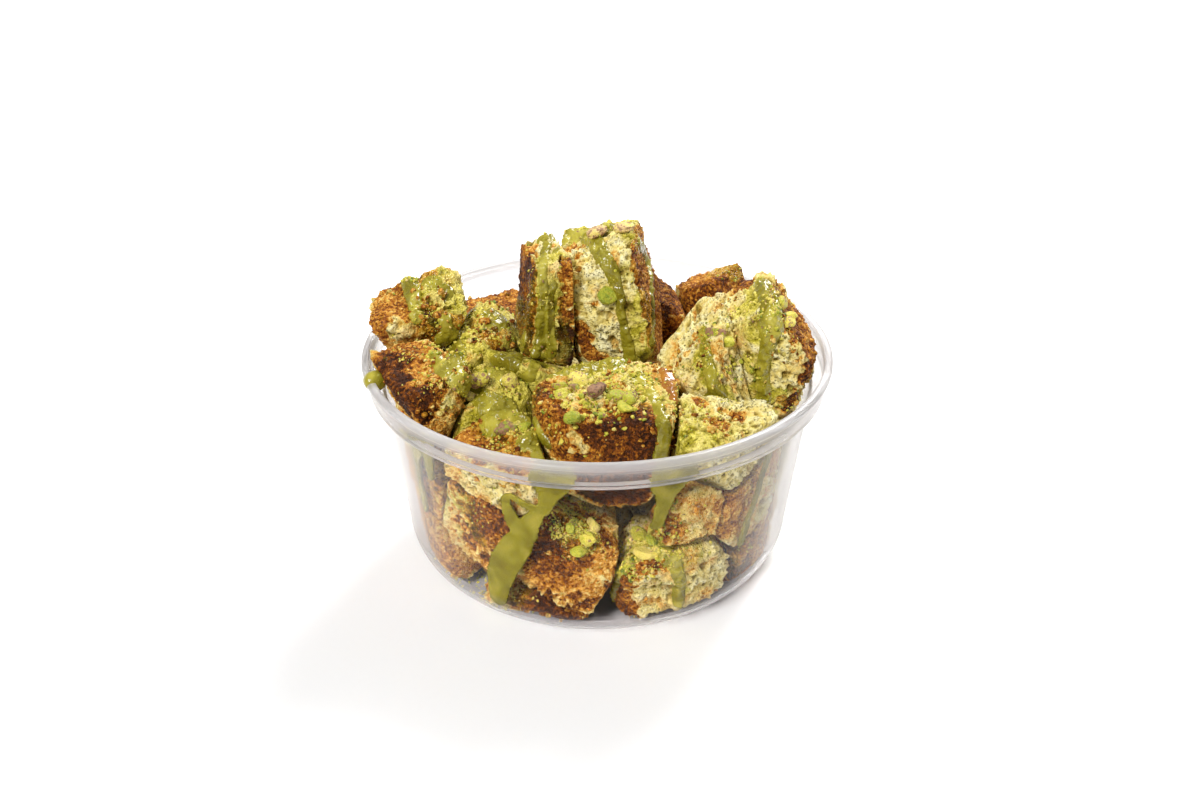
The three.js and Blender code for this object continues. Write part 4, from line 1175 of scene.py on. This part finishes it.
for number, (name, (on, side, half, turn, skin_left, yellow)) in enumerate(KERNELS.items()):
    bite, way = BITES[on], toward(*side)[None]
    normal = even_normal(bite, way)[0]
    shape, faces = kernel_points(half, 200 + number)
    place = surface(bite, way)[0][0] + normal * (half[2] + KERNEL_GAP)
    points = shape @ turned_axes((0, 0, turn)).T @ upright(normal).T + place
    masks = {
        "skin": np.full(len(points), skin_left),
        "hue": yellow + 0.15 * noise(points, 2.0, 210 + number),
    }
    add_piece(f"{name}_whole", points, faces, pistachio, masks, [name])


# Chopped pistachio: angular bits a millimetre or two across, dropped on the wet sauce and the
# crumb where they stuck, and finer ones that fell to the bottom of the tub.
DUST = 260
DUST_ANGLES = (205, 240)
DUST_RADII = (28, 46)
DUST_LIFT = 0.1
DUST_SIZE = (0.15, 0.3)
BIT_SIZE = (0.17, 0.42)
BIT_SPREAD = 1.25
BIT_STRAY = 0.12
BITS_PER_CRUMB = 3
BIT_HUES = [0.15, 0.35, 0.55, 0.7, 0.85]
HUE_SHARES = [0.08, 0.17, 0.3, 0.33, 0.12]


def icosahedron():
    """Twelve corners at the golden ratio, and the twenty faces between those closest together."""
    long = (1 + math.sqrt(5)) / 2
    flat = np.array([(0, a, b * long) for a in (1, -1) for b in (1, -1)])
    corners = np.concatenate([np.roll(flat, k, 1) for k in range(3)])
    corners /= np.linalg.norm(corners[0])
    near = np.linalg.norm(corners[:, None] - corners[None], axis=2) < 1.1
    triples = itertools.combinations(range(12), 3)
    faces = np.array([t for t in triples if near[t[:2]] and near[t[1:]] and near[t[::2]]])
    a, b, c = corners[faces].transpose(1, 0, 2)
    inward = (np.cross(b - a, c - a) * a).sum(1) < 0
    faces[inward] = faces[inward][:, ::-1]
    return corners, faces


def finer(corners, faces):
    """Each triangle split into four, with the new corners out on the unit ball."""
    a, b, c = corners[faces].transpose(1, 0, 2)
    points = unit(np.concatenate([a, b, c, a + b, b + c, c + a]))
    a, b, c, ab, bc, ca = np.arange(len(points)).reshape(6, -1)
    made = [(a, ab, ca), (ab, b, bc), (ca, bc, c), (ab, bc, ca)]
    made = np.concatenate([np.stack(corner, 1) for corner in made])
    _, kept, where = np.unique(points.round(5), axis=0, return_index=True, return_inverse=True)
    return points[kept], where.ravel()[made]


BIT = icosahedron()
GRIT = finer(*BIT)
LUMP = finer(*finer(*GRIT))


def spun(count, random):
    """Random rotations, from unit quaternions."""
    w, x, y, z = (q := random.normal(size=(4, count))) / np.linalg.norm(q, axis=0)
    rows = [
        [1 - 2 * (y * y + z * z), 2 * (x * y - z * w), 2 * (x * z + y * w)],
        [2 * (x * y + z * w), 1 - 2 * (x * x + z * z), 2 * (y * z - x * w)],
        [2 * (x * z - y * w), 2 * (y * z + x * w), 1 - 2 * (x * x + y * y)],
    ]
    return np.array(rows).transpose(2, 0, 1)


def scattered(places, sizes, random, shape=BIT, jag=0.34):
    """One copy of the shape at every place, each squashed, jagged and turned by chance."""
    corners, faces = shape
    count = len(places)
    squash = random.uniform(0.5, 1.35, (count, 1, 3))
    jagged = 1 + random.uniform(-jag, jag, (count, len(corners), 1))
    copies = corners[None] * squash * jagged * np.asarray(sizes)[:, None, None]
    copies = np.einsum("nij,nkj->nki", spun(count, random), copies)
    points = (copies + np.asarray(places)[:, None]).reshape(-1, 3)
    shifts = np.arange(count)[:, None, None] * len(corners)
    return points, (faces[None] + shifts).reshape(-1, 3)


def dropped(bite, azimuth, elevation, radius, count, random):
    """Where grains dropped round one side of a bite stick: on its torn surface or its sauce,
    in clumps, thinning out with the distance from that side's middle."""
    points, ways, _, _ = bite["torn"]
    middle, _ = surface(bite, toward(azimuth, elevation)[None])
    off = np.linalg.norm(points - middle, axis=1) / radius
    clumped = smooth(-0.35, 0.5, noise(points, 2.4, 131) + 0.4 * noise(points, 1.0, 132))
    likely = np.exp(-(off**2)) * (0.04 + clumped) * (0.1 + smooth(0, 0.6, ways[:, 2]))
    chosen = random.choice(len(points), count, p=likely / likely.sum())
    return points[chosen] + ways[chosen] * bite["top"][chosen][:, None]


def sprinkled(kind, share, random):
    """Places and sizes of the bits that a kind of mark drops on every bite, share times as
    many as the mark says. Small bits are the most common."""
    places, sizes = [], []
    for bite in BITES.values():
        for azimuth, elevation, radius, count, size in bite.get(kind, ()):
            fallen = int(share * count)
            spots = dropped(bite, azimuth, elevation, BIT_SPREAD * radius, fallen, random)
            places.append(spots + random.normal(size=spots.shape) * BIT_STRAY)
            chance = random.uniform(0, 1, len(spots)) ** 2
            sizes.append(size * (BIT_SIZE[0] + BIT_SIZE[1] * chance))
    return np.concatenate(places), np.concatenate(sizes)


random = np.random.default_rng(7)
places, sizes = sprinkled("crumbs", BITS_PER_CRUMB, random)
# Dust on the tub's floor, where it bends up into the wall
way = np.radians(random.uniform(*DUST_ANGLES, DUST))
across = random.uniform(*DUST_RADII, DUST)
bend = np.clip((across - BASE_RADIUS + WALL) / (WALL_FOOT_RADIUS - BASE_RADIUS), 0, 0.95)
low = FLOOR + DUST_LIFT + CORNER_HEIGHT * (1 - np.sqrt(1 - bend**2))
places = np.concatenate([places, np.stack([across * np.cos(way), across * np.sin(way), low], 1)])
dust = DUST_SIZE[0] + DUST_SIZE[1] * random.uniform(0, 1, DUST) ** 2
sizes = np.concatenate([sizes, dust])
points, faces = scattered(places, sizes, random)
hues = random.choice(BIT_HUES, len(places), p=HUE_SHARES)
masks = {
    "skin": np.repeat(random.uniform(0, 1, len(places)) ** 6 * 0.6, len(BIT[0])),
    "hue": np.repeat(hues, len(BIT[0])),
}
add_piece("pistachio_bits", points, faces, pistachio, masks)


# Loose waffle crumbs: torn brown and golden bits that lie in the valleys of the heap.
places, sizes = sprinkled("flakes", 1, random)
points, faces = scattered(places, 1.5 * sizes, random, GRIT, 0.2)
browned = np.repeat(random.uniform(0.1, 0.75, len(places)), len(GRIT[0]))
masks = {
    "toast": browned + 0.15 * noise(points, 0.8, 141),
    "soak": np.repeat(random.uniform(0, 0.5, len(places)), len(GRIT[0])),
    "pore_shade": np.zeros(len(points)),
    # rise: the painted light on peaks and shade in hollows, varied here by noise
    "rise": 0.5 + 0.5 * noise(points, 0.6, 142),
}
add_piece("loose_crumbs", points, faces, waffle, masks)


# Nut lumps: the largest pieces of chopped pistachio, two to five millimetres across, lying in
# loose groups on the bites.
# Each group: azimuth, elevation, how far it spreads in degrees, number and size.
CHIPS = {
    "bite_tall": [(262, 30, 8, 1, 0.95)],
    "bite_soaked_front": [(226, 64, 3, 1, 0.8), (10, 66, 5, 1, 1)],
    "bite_front": [(186, 56, 13, 4, 1), (300, 58, 12, 4, 1)],
    "bite_right_lobe": [(325, 62, 12, 2, 1)],
    "bite_right": [(308, 58, 12, 3, 1)],
    "bite_back_left": [(280, 60, 20, 1, 1)],
    "bite_front_left": [(100, 72, 4, 1, 1), (20, 66, 9, 2, 0.7)],
    "bite_side_dark": [(292, 42, 20, 4, 1)],
    "bite_side_arch": [(214, 56, 22, 4, 1)],
}
GRAIN_SIZES = (1.3, 2.3)
GOLDEN_ANGLE = 137.5
CUTS = 9
CUT_POWER = 14
LUMP_HALF = (1.3, 1.0, 0.85)
LUMP_SINK = 0.2


def lehmer(seed):
    """Repeatable numbers from 0 to 1, each from the last by one multiplication."""
    while True:
        seed = seed * 16807 % 2147483647
        yield seed / 2147483647


def nut_lump(half, random, seed):
    """A long ball cut by planes at random, each edge between them a little rounded."""
    cuts = LUMP[0] @ random.normal(size=(3, CUTS))
    cuts = (np.maximum(cuts, 0) / random.uniform(0.8, 1.8, CUTS)) ** CUT_POWER
    lump = LUMP[0] * LUMP_HALF * half
    lump *= ((1 + cuts.sum(1)) ** (-1 / CUT_POWER))[:, None]
    return lump * (1.05 + 0.1 * noise(lump, 0.8, seed)[:, None])


parts = []
for name, groups in CHIPS.items():
    bite = BITES[name]
    chance = lehmer(7 * bite["seed"])
    for azimuth, elevation, spread, count, size in groups:
        middle = toward(azimuth, elevation)
        side, rise = square_to(middle)
        for i in range(count):
            around = math.radians(i * GOLDEN_ANGLE + 40 * next(chance))
            off = math.tan(math.radians(spread)) * math.sqrt((i + 0.5) / count)
            way = unit(middle + off * (math.cos(around) * side + math.sin(around) * rise))
            half = size * (GRAIN_SIZES[0] + (GRAIN_SIZES[1] - GRAIN_SIZES[0]) * next(chance))
            turn = [math.degrees(math.pi * next(chance)), 0, math.degrees(math.pi * next(chance))]
            lump = nut_lump(half, random, 300 + len(parts))
            place = surface(bite, way[None])[0][0] + way * half * LUMP_SINK
            parts.append((lump @ turned_axes(turn).T + place, LUMP[1]))
points, faces = joined(parts)
skins = random.choice([0.05, 0.3, 0.62], len(parts), p=[0.5, 0.3, 0.2])
masks = {
    "skin": np.repeat(skins, len(LUMP[0])),
    "hue": np.repeat(random.uniform(0.25, 0.95, len(parts)), len(LUMP[0])),
}
add_piece("pistachio_lumps", points, faces, pistachio, masks)


# Sauce on the wall: cream that ran down the inside of the tub, thick where it left the ledge
# and rounded where each run stopped. It is seen through the plastic, pressed flat against it.
pressed_sauce = sauce_finish("pressed_sauce", 0.1)
# Each path down the wall is a list of (azimuth, height, half width).
WALL_RUNS = {
    "sauce_run_front_left": [
        [(260, 53.5, 4.6), (259, 50, 4.4), (257.5, 44, 2.0), (253, 37, 2.6), (247.5, 28, 4),
         (242, 18, 3.7), (240.5, 11, 2.8)],
        [(257, 41, 1.6), (252.5, 42, 1.3), (248, 43.5, 1.1), (246.5, 40.5, 1.5), (248, 36, 2.2)],
    ],
    "sauce_run_front_right": [[(288, 53.5, 5), (288, 50, 4.8), (287, 45, 2.4), (285.5, 37, 1.8)]],
    "sauce_run_left": [
        [(218, 50, 3.2), (216, 46, 2.6), (214, 40, 1.5), (213.5, 27, 1.3)],
        [(222, 49, 2.6), (221, 44, 1.6), (220.5, 40, 1.2)],
    ],
    "sauce_run_right": [[(320, 48, 1.2), (317, 34, 0.9), (314, 22, 1.1)]],
}
RUN_GAP = 0.12
RUN_THICKNESS = 0.95
RUN_BODY = 0.08
RUN_SPACING = 0.4
RUN_ANGLES = (205, 328, 0.42)
RUN_HEIGHTS = (3.5, 57.6)
RUN_SCALE = 50


def wall_radius(height):
    """Inside of the tub: the wall below the ledge, the ledge itself, then the collar."""
    ledge = np.array([LEDGE_HEIGHT, LEDGE_HEIGHT + WALL, TUB_HEIGHT])
    radii = [WALL_TOP_RADIUS - WALL, COLLAR_RADIUS - WALL - COLLAR_STEP, COLLAR_RADIUS - WALL]
    return np.where(height < LEDGE_HEIGHT, inner_radius(height), np.interp(height, ledge, radii))


def wall_run(paths):
    """A sheet on the wall over angle and height; its thickness is the round of a half circle
    across the nearest path. Angles are laid out flat at RUN_SCALE millimetres a radian."""
    angles = np.radians(np.arange(*RUN_ANGLES))
    heights = np.arange(*RUN_HEIGHTS, RUN_SPACING)
    angle, height = [grid.ravel() for grid in np.meshgrid(angles, heights, indexing="xy")]
    flat = np.stack([angle * RUN_SCALE, height, 0 * angle], 1)
    wander = wandering(flat, 0.45, 3.6, 95)
    edge = np.full(len(flat), OFF_SAUCE)
    for path in paths:
        samples = sampled(path, 14)
        samples[:, 0] = np.radians(samples[:, 0]) * RUN_SCALE
        off = np.hypot(*(wander[:, None, :2] - samples[None, :, :2]).transpose(2, 0, 1))
        edge = np.minimum(edge, (off / samples[:, 2]).min(1))
    rise = RUN_THICKNESS * np.sqrt(np.maximum(1 - edge**2, 0)) * (1 + 0.1 * noise(flat, 6, 98))
    faces = grid_faces(len(heights), len(angles))[:, [0, 3, 2, 1]]
    around = np.stack([np.cos(angle), np.sin(angle)], 1)
    outer_radius = wall_radius(height) - RUN_GAP
    over, under = [
        np.concatenate([around * radius[:, None], height[:, None]], 1)
        for radius in (outer_radius - RUN_BODY - rise, outer_radius)
    ]
    return sheet(over, under, faces, (edge[faces] < 1).all(1))


for name, paths in WALL_RUNS.items():
    points, faces = wall_run(paths)
    add_piece(f"{name}_thick", points, faces, pressed_sauce, None, [name])


# Blob on the rim: a thick drop of cream that folded over the bead at the left.
BLOB_HALF = (3.1, 2.9, 2.5)
BLOB_AZIMUTH = 199
BLOB_RADIUS = 56
BLOB_HEIGHT = 57.4
blob = LUMP[0] * BLOB_HALF
blob *= 1 + 0.16 * noise(blob, 2.6, 151)[:, None]
axes = turned_axes((0, 0, BLOB_AZIMUTH))
points = (blob + (BLOB_RADIUS, 0, BLOB_HEIGHT)) @ axes.T
add_piece("sauce_blob", points, LUMP[1], sauce)


# Studio: a plain pale floor that runs on behind, a bright even surround, a large soft lamp
# high on the left and a smaller one behind to give the sauce its white edges.
FLOOR_REACH = 3.0
pale = Finish("pale_floor")
pale.finished(pale.body({"Base Color": (0.9, 0.9, 0.9), "Roughness": 0.6}))
floor_mesh = bpy.data.meshes.new("floor")
corners = [(x * FLOOR_REACH, y * FLOOR_REACH, 0) for x, y in ((-1, -1), (1, -1), (1, 1), (-1, 1))]
floor_mesh.from_pydata(corners, [], [(0, 1, 2, 3)])
floor_mesh.materials.append(pale.material)
floor = bpy.data.objects.new("floor", floor_mesh)
bpy.context.scene.collection.objects.link(floor)
floor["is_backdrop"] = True


def add_lamp(name, kind, place, power, spread):
    """A soft lamp that faces the middle of the heap from its place; spread is the side of a
    square lamp in metres, or the angle of a distant one in degrees."""
    lamp = bpy.data.lights.new(name, kind)
    lamp.energy = power
    if kind == "SUN":
        lamp.angle = math.radians(spread)
    else:
        lamp.size = spread
    holder = bpy.data.objects.new(name, lamp)
    holder.location = place
    away = holder.location - Vector((0, 0, 0.045))
    holder.rotation_euler = away.to_track_quat("Z", "Y").to_euler()
    bpy.context.scene.collection.objects.link(holder)


add_lamp("key", "SUN", (-0.3, -0.55, 0.65), 3.35, 12)
add_lamp("back", "AREA", (0.2, 0.4, 0.5), 5, 0.25)
world = bpy.data.worlds.new("surround")
world.use_nodes = True
background = world.node_tree.nodes["Background"]
background.inputs["Color"].default_value = (1, 1, 1, 1)
background.inputs["Strength"].default_value = 0.34
bpy.context.scene.world = world
bpy.context.scene.view_settings.view_transform = "Standard"

low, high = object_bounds()
